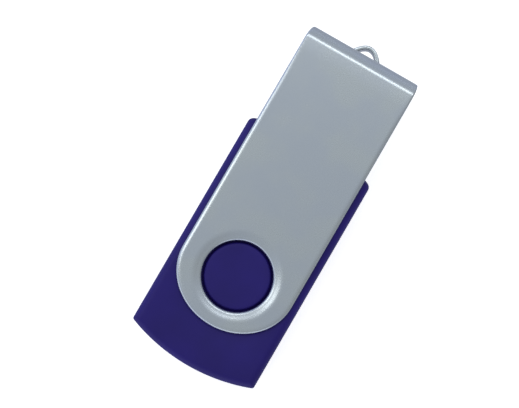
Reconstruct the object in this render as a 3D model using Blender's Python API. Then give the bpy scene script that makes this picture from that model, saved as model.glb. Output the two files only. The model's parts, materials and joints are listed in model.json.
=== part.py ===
"""Swivel-cover USB flash drive: a plastic stick with a standard plug, inside a sheet-metal clip.

The drive lies flat. +X points at the plug and at the closed end of the clip, Y is the width and
Z is up. The world origin is at the middle of the underside. Every sub-part is modelled about
the swivel pivot, which is an empty, and its lengths are written in millimetres times MM.
"""
import math

import bmesh
import bpy
from mathutils import Vector

MM = 0.001

# Stick: two half shells that meet at mid thickness.
BODY_HALF_WIDTH = 10.0 * MM
BODY_HALF_HEIGHT = 4.2 * MM
BODY_REAR_X = -14.55 * MM
BODY_REAR_ARC = 27.66 * MM
BODY_FRONT_ARC = 23.0 * MM      # concentric with the pivot
BODY_FRONT_FILLET = 0.93 * MM
BODY_REAR_FILLET = 0.45 * MM
BODY_LEAST_FILLET = 0.2 * MM
BODY_EDGE_RADIUS = 1.1 * MM
BODY_WALL = 1.2 * MM
BODY_SEAM = 0.1 * MM
LIP_OUTER_INSET = 0.75 * MM     # the lower shell's lip stands inside the upper shell's wall
LIP_INNER_INSET = 1.8 * MM
LIP_ROOT = 0.5 * MM             # how deep the lip is set into the lower shell
LIP_HEIGHT = 0.8 * MM
LIP_CLEARANCE = 0.1 * MM

# Posts along the shells' walls that hold the circuit board's edges.
POST_PLACES = (-8.0 * MM, 2.0 * MM, 12.0 * MM)
POST_HALF_LENGTH = 0.4 * MM
POST_GAP = 0.1 * MM             # between a post's end and the board
POST_REACH = 0.5 * MM           # how far a post reaches over the board's edge
LOWER_POST_ROOT = 0.6 * MM      # how deep a lower post is set into the wall
UPPER_POST_GAP = 0.3 * MM       # between an upper post and the wall

# Pivot: a round boss on each face, in a groove that takes the clip's drawn-in rim.
BOSS_BASE_RADIUS = 5.05 * MM
BOSS_TOP_RADIUS = 4.65 * MM
BOSS_HALF_HEIGHT = 4.4 * MM
BOSS_CHAMFER = 0.12 * MM
GROOVE_RADIUS = 7.6 * MM
GROOVE_FLOOR = 3.7 * MM

# Clip: one strip of sheet metal bent into a U.
CLIP_SHEET = 0.6 * MM
CLIP_GAP = 0.2 * MM
CLIP_HALF_HEIGHT = BODY_HALF_HEIGHT + CLIP_GAP + CLIP_SHEET
CLIP_HALF_WIDTH = 8.91 * MM
CLIP_REAR_X = -7.92 * MM
CLIP_END_X = 36.95 * MM
CLIP_BEND_RADIUS = 2.15 * MM
CLIP_HOLE_RADIUS = 5.18 * MM
CLIP_SPLIT_X = 12.0 * MM        # where a leg's round end gives way to plain strip
DISH_RADIUS = 7.2 * MM
DISH_DEPTH = 0.42 * MM

# Lanyard loop, lanced out of the clip's end.
LOOP_HALF_SPAN = 2.6 * MM
LOOP_RISE = 1.83 * MM
LOOP_STRIP = 0.55 * MM
LOOP_ROOT = 0.3 * MM            # how deep the strip's feet are set into the clip's end
LOOP_HALF_HEIGHT = 1.1 * MM
LANCE_HALF_SPAN = 1.9 * MM
LANCE_HALF_HEIGHT = 1.2 * MM

# Standard-A plug.
PLUG_HALF_WIDTH = 6.0 * MM
PLUG_HALF_HEIGHT = 2.25 * MM
PLUG_WALL = 0.3 * MM
PLUG_CORNER = 0.55 * MM
PLUG_NOSE_INSET = 0.1 * MM
PLUG_NOSE_LENGTH = 0.2 * MM
PLUG_TIP_X = 35.2 * MM
PLUG_REAR_X = 15.2 * MM
PLUG_TUBE_REAR_X = 18.2 * MM
WINDOW_FROM_TIP = 5.16 * MM
WINDOW_LENGTH = 2.5 * MM
WINDOW_WIDTH = 2.0 * MM
WINDOW_Y = 3.05 * MM
PLUG_OPENING_GAP = 0.15 * MM
EAR_TOP = 1.0 * MM
EAR_BOTTOM = -1.7 * MM

# Tongue and contacts.
TONGUE_HALF_WIDTH = 5.55 * MM
TONGUE_BOTTOM = -1.85 * MM
TONGUE_TIP_X = PLUG_TIP_X - 0.3 * MM
TONGUE_REAR_X = 17.7 * MM
TONGUE_BEVEL = 0.3 * MM
BLOCK_FRONT_X = 21.4 * MM
BLOCK_BOTTOM = -1.0 * MM
BLOCK_REAR_STEP = 0.2 * MM
BLOCK_SIDE_STEP = 0.05 * MM
CONTACT_WIDTH = 1.0 * MM
CONTACT_THICKNESS = 0.25 * MM
CONTACT_TOP = 0.06 * MM
CONTACT_TAIL_X = 14.4 * MM
CONTACT_CLEARANCE = 0.06 * MM
CONTACT_TAIL_STEP = 0.15 * MM   # how much narrower the tail is on each side
CONTACT_TAPER = 0.3 * MM
CONTACT_TIP_HALF = 0.25 * MM
OUTER_CONTACT_Y = 3.5 * MM
INNER_CONTACT_Y = 1.0 * MM
OUTER_CONTACT_TIP = 0.85 * MM   # back from the plug's tip
INNER_CONTACT_TIP = 1.85 * MM

# Circuit board.
BOARD_TOP = -0.26 * MM
BOARD_THICKNESS = 1.0 * MM
BOARD_REAR_X = -11.4 * MM
BOARD_FRONT_X = 17.3 * MM
BOARD_HALF_WIDTH = 8.2 * MM
BOARD_CORNER = 1.2 * MM
EAR_NOTCH_HALF = 0.4 * MM
EAR_NOTCH_GAP = 0.3 * MM
SOLDER_GAP = 0.08 * MM

# Chips: centre on the board, then length, width and height.
MEMORY_CENTRE = (0.6 * MM, 0.0)
MEMORY_SIZE = (18.4 * MM, 12.0 * MM, 1.0 * MM)
CONTROLLER_CENTRE = (1.0 * MM, 0.0)
CONTROLLER_SIZE = (7.0 * MM, 7.0 * MM, 1.3 * MM)
REGULATOR_CENTRE = (-6.4 * MM, -4.6 * MM)
REGULATOR_SIZE = (2.9 * MM, 1.5 * MM, 1.0 * MM)
MOULD_DRAFT = 0.12              # inset of a chip's faces, as a share of its height
DRAFT_HEIGHT = 1.0 * MM         # the height above which the inset stays the same

# Small parts: x and y in millimetres, then 1 for the board's upper face and -1 for its lower.
CAPACITORS = ((12.6, 6.6, 1), (11.9, -6.9, 1), (6.4, 6.2, -1), (6.4, -6.2, -1), (-9.6, -5.2, -1))
RESISTORS = ((12.6, 2.25, -1), (12.6, -2.25, -1), (-6.2, -1.0, -1), (-10.3, 2.6, 1),
             (7.6, 0.0, -1))
CAPACITOR_SIZE = (1.6 * MM, 0.8 * MM, 0.8 * MM)
RESISTOR_SIZE = (1.6 * MM, 0.8 * MM, 0.45 * MM)
END_CAP_SHARE = 0.22
END_CAP_STEP = 0.04 * MM

# Clock crystal: half length, half width and corner radius of each outline.
CRYSTAL_CENTRE = (-6.2 * MM, 3.6 * MM)
CRYSTAL_FLANGE = (2.5 * MM, 1.6 * MM, 0.8 * MM)
CRYSTAL_CAN = (2.25 * MM, 1.35 * MM, 0.7 * MM)
CRYSTAL_CROWN = (2.1 * MM, 1.2 * MM, 0.6 * MM)
CRYSTAL_FLANGE_HEIGHT = 0.25 * MM
CRYSTAL_SHOULDER_HEIGHT = 1.0 * MM
CRYSTAL_HEIGHT = 1.15 * MM

# Activity light: half length, half width and height of each level, in millimetres.
LED_X = -10.4 * MM
LED_LEVELS = ((0.4, 0.8, 0.0), (0.4, 0.8, 0.3), (0.38, 0.5, 0.3), (0.34, 0.46, 0.5),
              (0.22, 0.34, 0.6))

ARC_STEP = math.radians(6.0)
CUT_REACH = 8.0 * MM            # how far a cutter stands out past what it cuts
WELD = 0.001 * MM
TOTAL_FRONT_X = CLIP_END_X + LOOP_RISE
PIVOT_X = -(TOTAL_FRONT_X + BODY_REAR_X) / 2.0
PIVOT_Z = CLIP_HALF_HEIGHT


def clear_scene():
    for old in list(bpy.data.objects):
        bpy.data.objects.remove(old, do_unlink=True)


def linear(channel):
    """One sRGB channel, 0 to 255, as a linear value."""
    value = channel / 255.0
    return value / 12.92 if value <= 0.04045 else ((value + 0.055) / 1.055) ** 2.4


def material(name, rgb, roughness, metallic=0.0):
    made = bpy.data.materials.new(name)
    made.use_nodes = True
    shader = made.node_tree.nodes["Principled BSDF"]
    shader.inputs["Base Color"].default_value = [linear(c) for c in rgb] + [1.0]
    shader.inputs["Roughness"].default_value = roughness
    shader.inputs["Metallic"].default_value = metallic
    return made


def new_object(name, bm, pivot, finish=None, smooth_below=30.0):
    """Turns a bmesh into a named object on the pivot, shaded smooth up to an edge angle."""
    bmesh.ops.recalc_face_normals(bm, faces=bm.faces)
    mesh = bpy.data.meshes.new(name)
    bm.to_mesh(mesh)
    bm.free()
    mesh.shade_smooth()
    mesh.set_sharp_from_angle(angle=math.radians(smooth_below))
    obj = bpy.data.objects.new(name, mesh)
    bpy.context.collection.objects.link(obj)
    obj.parent = pivot
    if finish is not None:
        mesh.materials.append(finish)
    return obj


def loft(loops, close=False):
    """Skins a list of equal-length point loops, capped at both ends or joined end to end."""
    bm = bmesh.new()
    rings = [[bm.verts.new(point) for point in loop] for loop in loops]
    count = len(rings[0])
    pairs = list(zip(rings, rings[1:]))
    if close:
        pairs.append((rings[-1], rings[0]))
    for low, high in pairs:
        for i in range(count):
            j = (i + 1) % count
            bm.faces.new((low[i], low[j], high[j], high[i]))
    if not close:
        bm.faces.new(rings[0])
        bm.faces.new(rings[-1])
    return bm


def flat_loop(points, z):
    return [Vector((x, y, z)) for x, y in points]


def cross_loop(points, x):
    return [Vector((x, y, z)) for y, z in points]


def rectangle(x0, x1, y0, y1):
    return [(x0, y0), (x1, y0), (x1, y1), (x0, y1)]


def box_mesh(x0, x1, y0, y1, z0, z1):
    outline = rectangle(x0, x1, y0, y1)
    return loft([flat_loop(outline, z0), flat_loop(outline, z1)])


def arc(cx, cy, radius, start, end, steps):
    turn = (end - start) / steps
    return [(cx + radius * math.cos(start + turn * i), cy + radius * math.sin(start + turn * i))
            for i in range(steps + 1)]


def rounded_rectangle(half_a, half_b, radius, steps):
    points = []
    for quarter, (sign_a, sign_b) in enumerate(((1, 1), (-1, 1), (-1, -1), (1, -1))):
        start = quarter * math.pi / 2.0
        centre_a = sign_a * (half_a - radius)
        centre_b = sign_b * (half_b - radius)
        points += arc(centre_a, centre_b, radius, start, start + math.pi / 2.0, steps)
    return points


def circle_at(directions, radius):
    """A circle about the pivot with one point in the direction of each given point."""
    points = []
    for x, y in directions:
        length = math.hypot(x, y)
        points.append((x / length * radius, y / length * radius))
    return points


def side_points(half_width, x_from, x_to, sign):
    """Points along a straight side, evenly spaced as seen from the pivot."""
    start = math.atan2(half_width, x_from)
    end = math.atan2(half_width, x_to)
    steps = max(1, round(abs(end - start) / ARC_STEP))
    turns = [start + (end - start) * i / steps for i in range(1, steps)]
    return [(half_width / math.tan(turn), sign * half_width) for turn in turns]


def half_body_outline(inset):
    """One side of the stick's outline, from the front tip round to the rear tip."""
    half = BODY_HALF_WIDTH - inset
    front = BODY_FRONT_ARC - inset
    rear = BODY_REAR_ARC - inset
    rear_centre = BODY_REAR_X + BODY_REAR_ARC
    front_fillet = max(BODY_FRONT_FILLET - inset, BODY_LEAST_FILLET)
    rear_fillet = max(BODY_REAR_FILLET - inset, BODY_LEAST_FILLET)

    front_y = half - front_fillet
    front_x = math.sqrt((front - front_fillet) ** 2 - front_y ** 2)
    front_turn = math.atan2(front_y, front_x)
    rear_y = half - rear_fillet
    rear_reach = math.sqrt((rear - rear_fillet) ** 2 - rear_y ** 2)
    rear_x = rear_centre - rear_reach
    rear_turn = math.pi - math.atan2(rear_y, rear_reach)

    points = arc(0.0, 0.0, front, 0.0, front_turn, 5)
    points += arc(front_x, front_y, front_fillet, front_turn, math.pi / 2.0, 4)[1:]
    points += side_points(half, front_x, rear_x, 1.0)
    points += arc(rear_x, rear_y, rear_fillet, math.pi / 2.0, rear_turn, 3)
    points += arc(rear_centre, 0.0, rear, rear_turn, math.pi, 6)[1:]
    return points


def body_outline(inset):
    half = half_body_outline(inset)
    return half + [(x, -y) for x, y in reversed(half[1:-1])]


def add_boolean(obj, cutter, operation):
    cutter.hide_render = True
    cutter.display_type = "WIRE"
    step = obj.modifiers.new(cutter.name, "BOOLEAN")
    step.operation = operation
    step.solver = "EXACT"
    step.object = cutter


def cut_box(obj, label, pivot, *limits):
    cutter = new_object(label, box_mesh(*limits), pivot)
    add_boolean(obj, cutter, "DIFFERENCE")


def make_shell(name, side, pivot, finish):
    """A half shell; side is +1 for the upper one and -1 for the lower one."""
    outer = body_outline(0.0)
    seam = BODY_SEAM / 2.0
    shoulder = BODY_HALF_HEIGHT - BODY_EDGE_RADIUS
    loops = [(outer, seam), (outer, shoulder)]
    for k in range(1, 5):
        turn = math.pi / 2.0 * k / 4
        inset = BODY_EDGE_RADIUS * (1.0 - math.cos(turn))
        loops.append((body_outline(inset), shoulder + BODY_EDGE_RADIUS * math.sin(turn)))
    loops.append((circle_at(outer, GROOVE_RADIUS), BODY_HALF_HEIGHT))
    loops.append((circle_at(outer, GROOVE_RADIUS), GROOVE_FLOOR))
    loops.append((circle_at(outer, BOSS_BASE_RADIUS), GROOVE_FLOOR))
    loops.append((circle_at(outer, BOSS_TOP_RADIUS), BOSS_HALF_HEIGHT - BOSS_CHAMFER))
    loops.append((circle_at(outer, BOSS_TOP_RADIUS - BOSS_CHAMFER), BOSS_HALF_HEIGHT))
    shell = new_object(name, loft([flat_loop(o, side * z) for o, z in loops]), pivot, finish)

    if side < 0:
        lip = [(body_outline(LIP_OUTER_INSET), -LIP_ROOT),
               (body_outline(LIP_OUTER_INSET), LIP_HEIGHT),
               (body_outline(LIP_INNER_INSET), LIP_HEIGHT),
               (body_outline(LIP_INNER_INSET), -LIP_ROOT)]
        lip_mesh = loft([flat_loop(o, z) for o, z in lip], close=True)
        add_boolean(shell, new_object(name + "_lip", lip_mesh, pivot), "UNION")
    else:
        relief = body_outline(LIP_OUTER_INSET - LIP_CLEARANCE)
        relief_mesh = loft([flat_loop(relief, -MM), flat_loop(relief, LIP_HEIGHT + LIP_CLEARANCE)])
        add_boolean(shell, new_object(name + "_relief", relief_mesh, pivot), "DIFFERENCE")

    cavity = body_outline(BODY_WALL)
    ceiling = BODY_HALF_HEIGHT - BODY_WALL
    cavity_mesh = loft([flat_loop(cavity, -side * MM), flat_loop(cavity, side * ceiling)])
    add_boolean(shell, new_object(name + "_cavity", cavity_mesh, pivot), "DIFFERENCE")
    for number, post in enumerate(board_posts(side)):
        add_boolean(shell, new_object(f"{name}_post_{number}", box_mesh(*post), pivot), "UNION")
    gap_y = PLUG_HALF_WIDTH + PLUG_OPENING_GAP
    gap_z = PLUG_HALF_HEIGHT + PLUG_OPENING_GAP
    cut_box(shell, name + "_plug_opening", pivot,
            PLUG_TUBE_REAR_X, BODY_FRONT_ARC + MM, -gap_y, gap_y, -gap_z, gap_z)
    return shell


def board_posts(side):
    """Posts along both walls that hold the circuit board's edges; the upper ones stand clear."""
    root = side * (BODY_HALF_HEIGHT - BODY_WALL / 2.0)
    if side > 0:
        tip = BOARD_TOP + POST_GAP
        outer = BODY_HALF_WIDTH - BODY_WALL - UPPER_POST_GAP
    else:
        tip = BOARD_TOP - BOARD_THICKNESS - POST_GAP
        outer = BODY_HALF_WIDTH - BODY_WALL + LOWER_POST_ROOT
    low, high = min(root, tip), max(root, tip)
    inner = BOARD_HALF_WIDTH - POST_REACH
    posts = []
    for x in POST_PLACES:
        for y0, y1 in ((inner, outer), (-outer, -inner)):
            posts.append((x - POST_HALF_LENGTH, x + POST_HALF_LENGTH, y0, y1, low, high))
    return posts


def leg_outline():
    """Outline of the pivot end of a leg: half an ellipse, then straight to a line across."""
    half = CLIP_HALF_WIDTH
    corner = math.atan2(half, CLIP_SPLIT_X)
    across = [(CLIP_SPLIT_X, CLIP_SPLIT_X * math.tan(corner * i / 4)) for i in range(5)]
    along = side_points(half, CLIP_SPLIT_X, 1e-9, 1.0)
    reach = abs(CLIP_REAR_X)
    rear = [(-reach * math.sin(math.pi / 2.0 * i / 15), half * math.cos(math.pi / 2.0 * i / 15))
            for i in range(16)]
    top = across + along + rear
    return top + [(x, -y) for x, y in reversed(top[1:-1])]


def dish_drop(radius):
    """How far the sheet is drawn in at a distance from the pivot."""
    span = (DISH_RADIUS - radius) / (DISH_RADIUS - CLIP_HOLE_RADIUS)
    span = min(max(span, 0.0), 1.0)
    return DISH_DEPTH * span * span * (3.0 - 2.0 * span)


def make_clip(pivot, finish):
    """The U strip as one outer skin, thickened inwards, with the lanced lanyard loop."""
    outline = leg_outline()
    bm = bmesh.new()
    for side in (1.0, -1.0):
        loops = []
        for step in range(7):
            radius = CLIP_HOLE_RADIUS + (DISH_RADIUS - CLIP_HOLE_RADIUS) * step / 6
            z = side * (CLIP_HALF_HEIGHT - dish_drop(radius))
            loops.append([bm.verts.new(p) for p in flat_loop(circle_at(outline, radius), z)])
        loops.append([bm.verts.new(p) for p in flat_loop(outline, side * CLIP_HALF_HEIGHT)])
        for low, high in zip(loops, loops[1:]):
            for i in range(len(outline)):
                j = (i + 1) % len(outline)
                bm.faces.new((low[i], low[j], high[j], high[i]))

    rows = []
    across = sorted(y for x, y in outline if x > CLIP_SPLIT_X - WELD)
    bend_x = CLIP_END_X - CLIP_BEND_RADIUS
    bend_z = CLIP_HALF_HEIGHT - CLIP_BEND_RADIUS
    path = [(CLIP_SPLIT_X, CLIP_HALF_HEIGHT)]
    path += [(bend_x + a, bend_z + b) for a, b in arc(0, 0, CLIP_BEND_RADIUS, math.pi / 2, 0, 6)]
    path += [(x, -z) for x, z in reversed(path)]
    for x, z in path:
        rows.append([bm.verts.new((x, y, z)) for y in across])
    for low, high in zip(rows, rows[1:]):
        for i in range(len(across) - 1):
            bm.faces.new((low[i], low[i + 1], high[i + 1], high[i]))
    bmesh.ops.remove_doubles(bm, verts=bm.verts, dist=WELD)
    clip = new_object("swivel_clip", bm, pivot, finish, 40.0)
    sheet = clip.modifiers.new("sheet", "SOLIDIFY")
    sheet.thickness = CLIP_SHEET
    sheet.offset = -1.0
    sheet.use_even_offset = True

    cut_box(clip, "lance_slot", pivot, CLIP_END_X - CLIP_SHEET - MM, CLIP_END_X + MM,
            -LANCE_HALF_SPAN, LANCE_HALF_SPAN, -LANCE_HALF_HEIGHT, LANCE_HALF_HEIGHT)
    add_boolean(clip, new_object("loop_strip", loop_mesh(), pivot), "UNION")
    return clip


def loop_curve(rise, half_span, root_x):
    """The strip's bulge seen from above, a shallow arch standing on the clip's end."""
    steps = 24
    turns = [2.0 * i / steps - 1.0 for i in range(steps + 1)]
    return [(root_x + rise * (1.0 - t * t), half_span * t) for t in turns]


def loop_mesh():
    root_x = CLIP_END_X - LOOP_ROOT
    outer = loop_curve(LOOP_RISE + LOOP_ROOT, LOOP_HALF_SPAN, root_x)
    inner = loop_curve(LOOP_RISE + LOOP_ROOT - LOOP_STRIP,
                       LOOP_HALF_SPAN - 0.8 * LOOP_STRIP, root_x)
    outline = outer + list(reversed(inner))
    return loft([flat_loop(outline, -LOOP_HALF_HEIGHT), flat_loop(outline, LOOP_HALF_HEIGHT)])


def make_plug_shell(pivot, finish):
    """The rolled steel tube, with four latch windows and two ears for the circuit board."""
    outer = rounded_rectangle(PLUG_HALF_WIDTH, PLUG_HALF_HEIGHT, PLUG_CORNER, 4)
    nose = rounded_rectangle(PLUG_HALF_WIDTH - PLUG_NOSE_INSET, PLUG_HALF_HEIGHT - PLUG_NOSE_INSET,
                             PLUG_CORNER - PLUG_NOSE_INSET, 4)
    inner = rounded_rectangle(PLUG_HALF_WIDTH - PLUG_WALL, PLUG_HALF_HEIGHT - PLUG_WALL,
                              PLUG_CORNER - PLUG_WALL, 4)
    loops = [cross_loop(outer, PLUG_REAR_X), cross_loop(outer, PLUG_TIP_X - PLUG_NOSE_LENGTH),
             cross_loop(nose, PLUG_TIP_X), cross_loop(inner, PLUG_TIP_X),
             cross_loop(inner, PLUG_REAR_X)]
    shell = new_object("plug_shell", loft(loops, close=True), pivot, finish)
    far = CUT_REACH
    back = PLUG_REAR_X - MM
    cut_box(shell, "ear_trim_top", pivot, back, PLUG_TUBE_REAR_X, -far, far, EAR_TOP, far)
    cut_box(shell, "ear_trim_bottom", pivot, back, PLUG_TUBE_REAR_X, -far, far, -far, EAR_BOTTOM)
    front = PLUG_TIP_X - WINDOW_FROM_TIP
    for label, side in (("left", 1.0), ("right", -1.0)):
        centre = side * WINDOW_Y
        cut_box(shell, "window_" + label, pivot, front - WINDOW_LENGTH, front,
                centre - WINDOW_WIDTH / 2.0, centre + WINDOW_WIDTH / 2.0, -far, far)
    return shell


CONTACTS = (
    ("contact_power", OUTER_CONTACT_Y, OUTER_CONTACT_TIP),
    ("contact_data_minus", INNER_CONTACT_Y, INNER_CONTACT_TIP),
    ("contact_data_plus", -INNER_CONTACT_Y, INNER_CONTACT_TIP),
    ("contact_ground", -OUTER_CONTACT_Y, OUTER_CONTACT_TIP),
)


def make_contact(name, y, tip_gap, pivot, finish):
    """A stamped strip whose wide blade lies in the tongue and whose narrow tail lies on the board."""
    blade = CONTACT_WIDTH / 2.0
    tail = blade - CONTACT_TAIL_STEP
    tip_x = PLUG_TIP_X - tip_gap
    one_side = [(CONTACT_TAIL_X, tail), (BLOCK_FRONT_X, tail),
                (BLOCK_FRONT_X + CONTACT_TAPER, blade), (tip_x - CONTACT_TAPER, blade),
                (tip_x, CONTACT_TIP_HALF)]
    outline = [(x, y - half) for x, half in one_side]
    outline += [(x, y + half) for x, half in reversed(one_side)]
    bottom = CONTACT_TOP - CONTACT_THICKNESS
    new_object(name, loft([flat_loop(outline, bottom), flat_loop(outline, CONTACT_TOP)]),
               pivot, finish)


def make_carrier(pivot, finish):
    """The moulded tongue, with a block that plugs the tube and a channel for each contact."""
    tongue = rectangle(TONGUE_REAR_X, TONGUE_TIP_X, -TONGUE_HALF_WIDTH, TONGUE_HALF_WIDTH)
    lead = rectangle(TONGUE_REAR_X, TONGUE_TIP_X - TONGUE_BEVEL,
                     -TONGUE_HALF_WIDTH, TONGUE_HALF_WIDTH)
    loops = [flat_loop(tongue, TONGUE_BOTTOM), flat_loop(tongue, -TONGUE_BEVEL),
             flat_loop(lead, 0.0)]
    carrier = new_object("contact_carrier", loft(loops), pivot, finish)
    block_half = TONGUE_HALF_WIDTH - BLOCK_SIDE_STEP
    block = box_mesh(TONGUE_REAR_X + BLOCK_REAR_STEP, BLOCK_FRONT_X, -block_half, block_half,
                     BLOCK_BOTTOM, -TONGUE_BOTTOM)
    add_boolean(carrier, new_object("carrier_block", block, pivot), "UNION")
    for name, y, tip_gap in CONTACTS:
        half = CONTACT_WIDTH / 2.0 + CONTACT_CLEARANCE
        bottom = CONTACT_TOP - CONTACT_THICKNESS - CONTACT_CLEARANCE
        cut_box(carrier, name + "_channel", pivot, TONGUE_REAR_X - MM,
                PLUG_TIP_X - tip_gap + CONTACT_CLEARANCE, y - half, y + half,
                bottom, CONTACT_TOP + CONTACT_CLEARANCE)
    return carrier


def make_board(pivot, finish):
    """The circuit board, with clipped rear corners and a notch for each ear of the plug."""
    half = BOARD_HALF_WIDTH
    corner = BOARD_CORNER
    outline = [(BOARD_FRONT_X, -half), (BOARD_FRONT_X, half), (BOARD_REAR_X + corner, half),
               (BOARD_REAR_X, half - corner), (BOARD_REAR_X, corner - half),
               (BOARD_REAR_X + corner, -half)]
    bottom = BOARD_TOP - BOARD_THICKNESS
    board = new_object("circuit_board", loft([flat_loop(outline, bottom),
                                              flat_loop(outline, BOARD_TOP)]), pivot, finish)
    for label, side in (("left", 1.0), ("right", -1.0)):
        wall = side * (PLUG_HALF_WIDTH - PLUG_WALL / 2.0)
        cut_box(board, "ear_notch_" + label, pivot, PLUG_REAR_X - EAR_NOTCH_GAP,
                BOARD_FRONT_X + MM, wall - EAR_NOTCH_HALF, wall + EAR_NOTCH_HALF,
                bottom - MM, BOARD_TOP + MM)
    return board


def mounting_height(side):
    """Where the parts on one face of the board stand: on a thin bed of solder."""
    if side > 0:
        return BOARD_TOP + SOLDER_GAP
    return BOARD_TOP - BOARD_THICKNESS - SOLDER_GAP


def make_package(name, centre, size, side, pivot, finish):
    """A moulded chip package on one face of the board, widest at half its height."""
    x, y = centre
    length, width, height = size
    draft = MOULD_DRAFT * min(height, DRAFT_HEIGHT)
    base = mounting_height(side)
    loops = []
    for inset, rise in ((draft, 0.0), (0.0, 0.5), (draft, 1.0)):
        outline = rectangle(x - length / 2.0 + inset, x + length / 2.0 - inset,
                            y - width / 2.0 + inset, y + width / 2.0 - inset)
        loops.append(flat_loop(outline, base + side * rise * height))
    return new_object(name, loft(loops), pivot, finish)


def make_passive(name, centre, side, size, pivot, finish):
    """A chip resistor or capacitor: a block between two slightly larger end caps."""
    x, y = centre
    length, width, height = size
    base = mounting_height(side)
    cap = END_CAP_SHARE * length
    step = END_CAP_STEP
    loops = []
    for along, shrink in ((-length / 2, 0.0), (cap - length / 2, 0.0), (cap - length / 2, step),
                          (length / 2 - cap, step), (length / 2 - cap, 0.0), (length / 2, 0.0)):
        section = [(y - width / 2 + shrink, base + side * shrink),
                   (y + width / 2 - shrink, base + side * shrink),
                   (y + width / 2 - shrink, base + side * (height - shrink)),
                   (y - width / 2 + shrink, base + side * (height - shrink))]
        loops.append(cross_loop(section, x + along))
    return new_object(name, loft(loops), pivot, finish)


def make_crystal(pivot, finish):
    """The clock crystal's metal can, with rounded ends and a flange at its foot."""
    x, y = CRYSTAL_CENTRE
    base = mounting_height(-1.0)
    levels = ((CRYSTAL_FLANGE, 0.0), (CRYSTAL_FLANGE, CRYSTAL_FLANGE_HEIGHT),
              (CRYSTAL_CAN, CRYSTAL_FLANGE_HEIGHT), (CRYSTAL_CAN, CRYSTAL_SHOULDER_HEIGHT),
              (CRYSTAL_CROWN, CRYSTAL_HEIGHT))
    loops = []
    for (half_a, half_b, radius), drop in levels:
        outline = rounded_rectangle(half_a, half_b, radius, 5)
        loops.append([Vector((x + a, y + b, base - drop)) for a, b in outline])
    return new_object("clock_crystal", loft(loops), pivot, finish)


def make_led(pivot, finish):
    """The activity light: a small block with a domed lens, near the rear end of the board."""
    base = mounting_height(1.0)
    loops = []
    for half_x, half_y, rise in LED_LEVELS:
        outline = rectangle(LED_X - half_x * MM, LED_X + half_x * MM, -half_y * MM, half_y * MM)
        loops.append(flat_loop(outline, base + rise * MM))
    return new_object("activity_led", loft(loops), pivot, finish)


def main():
    clear_scene()
    pivot = bpy.data.objects.new("swivel_pivot", None)
    pivot.location = (PIVOT_X, 0.0, PIVOT_Z)
    bpy.context.collection.objects.link(pivot)

    plastic = material("navy_plastic", (43, 37, 97), 0.45)
    steel = material("satin_painted_steel", (158, 168, 178), 0.38, 0.6)
    plated = material("nickel_plated_steel", (196, 198, 200), 0.22, 1.0)
    nylon = material("black_nylon", (24, 24, 26), 0.5)
    gold = material("gold_plate", (214, 172, 88), 0.2, 1.0)
    laminate = material("green_laminate", (22, 82, 52), 0.35)
    moulding = material("chip_moulding", (28, 28, 30), 0.6)
    ceramic = material("capacitor_ceramic", (158, 118, 78), 0.5)
    film = material("resistor_film", (20, 22, 26), 0.4)
    lens = material("led_lens", (226, 226, 210), 0.25)

    make_clip(pivot, steel)
    make_shell("upper_shell", 1.0, pivot, plastic)
    make_shell("lower_shell", -1.0, pivot, plastic)
    make_plug_shell(pivot, plated)
    make_carrier(pivot, nylon)
    for name, y, tip_gap in CONTACTS:
        make_contact(name, y, tip_gap, pivot, gold)
    make_board(pivot, laminate)
    make_package("memory_chip", MEMORY_CENTRE, MEMORY_SIZE, 1.0, pivot, moulding)
    make_package("controller_chip", CONTROLLER_CENTRE, CONTROLLER_SIZE, -1.0, pivot, moulding)
    make_package("voltage_regulator", REGULATOR_CENTRE, REGULATOR_SIZE, -1.0, pivot, moulding)
    make_crystal(pivot, plated)
    make_led(pivot, lens)
    for number, (x, y, side) in enumerate(CAPACITORS, 1):
        make_passive(f"capacitor_{number}", (x * MM, y * MM), side, CAPACITOR_SIZE, pivot, ceramic)
    for number, (x, y, side) in enumerate(RESISTORS, 1):
        make_passive(f"resistor_{number}", (x * MM, y * MM), side, RESISTOR_SIZE, pivot, film)


main()
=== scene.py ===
"""Looks of a USB flash drive: a plastic stick with a plug, inside a swivelling sheet-metal clip.

Every piece is modelled about the swivel pivot with lengths written in millimetres times MM, and
then moved to the pivot's place in the frame: +X to the plug, +Y across, +Z up.
"""
import json
import math

import bmesh
import bpy
from mathutils import Matrix, Vector


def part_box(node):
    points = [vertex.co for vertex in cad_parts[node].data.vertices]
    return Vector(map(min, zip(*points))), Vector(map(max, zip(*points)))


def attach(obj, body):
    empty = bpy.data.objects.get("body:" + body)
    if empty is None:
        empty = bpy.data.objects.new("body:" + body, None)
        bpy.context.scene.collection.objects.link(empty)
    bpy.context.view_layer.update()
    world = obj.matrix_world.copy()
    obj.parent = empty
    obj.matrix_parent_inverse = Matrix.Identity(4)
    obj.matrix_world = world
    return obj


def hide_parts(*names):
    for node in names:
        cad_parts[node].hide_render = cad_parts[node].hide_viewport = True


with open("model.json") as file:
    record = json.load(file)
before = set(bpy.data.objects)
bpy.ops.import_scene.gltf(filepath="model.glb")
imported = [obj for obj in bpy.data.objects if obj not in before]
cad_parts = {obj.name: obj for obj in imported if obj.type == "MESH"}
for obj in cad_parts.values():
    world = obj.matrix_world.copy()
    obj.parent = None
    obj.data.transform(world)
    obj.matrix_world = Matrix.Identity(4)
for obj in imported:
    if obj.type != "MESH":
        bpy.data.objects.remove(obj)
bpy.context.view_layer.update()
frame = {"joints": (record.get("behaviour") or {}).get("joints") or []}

bl_info = {
    "name": "Swivel flash drive",
    "version": (1, 0, 0),
    "blender": (4, 5, 0),
    "location": "View3D > Sidebar > Flash drive",
    "description": "Builds the finished pieces of a flash drive with a swivelling clip",
    "category": "Object",
}

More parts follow.
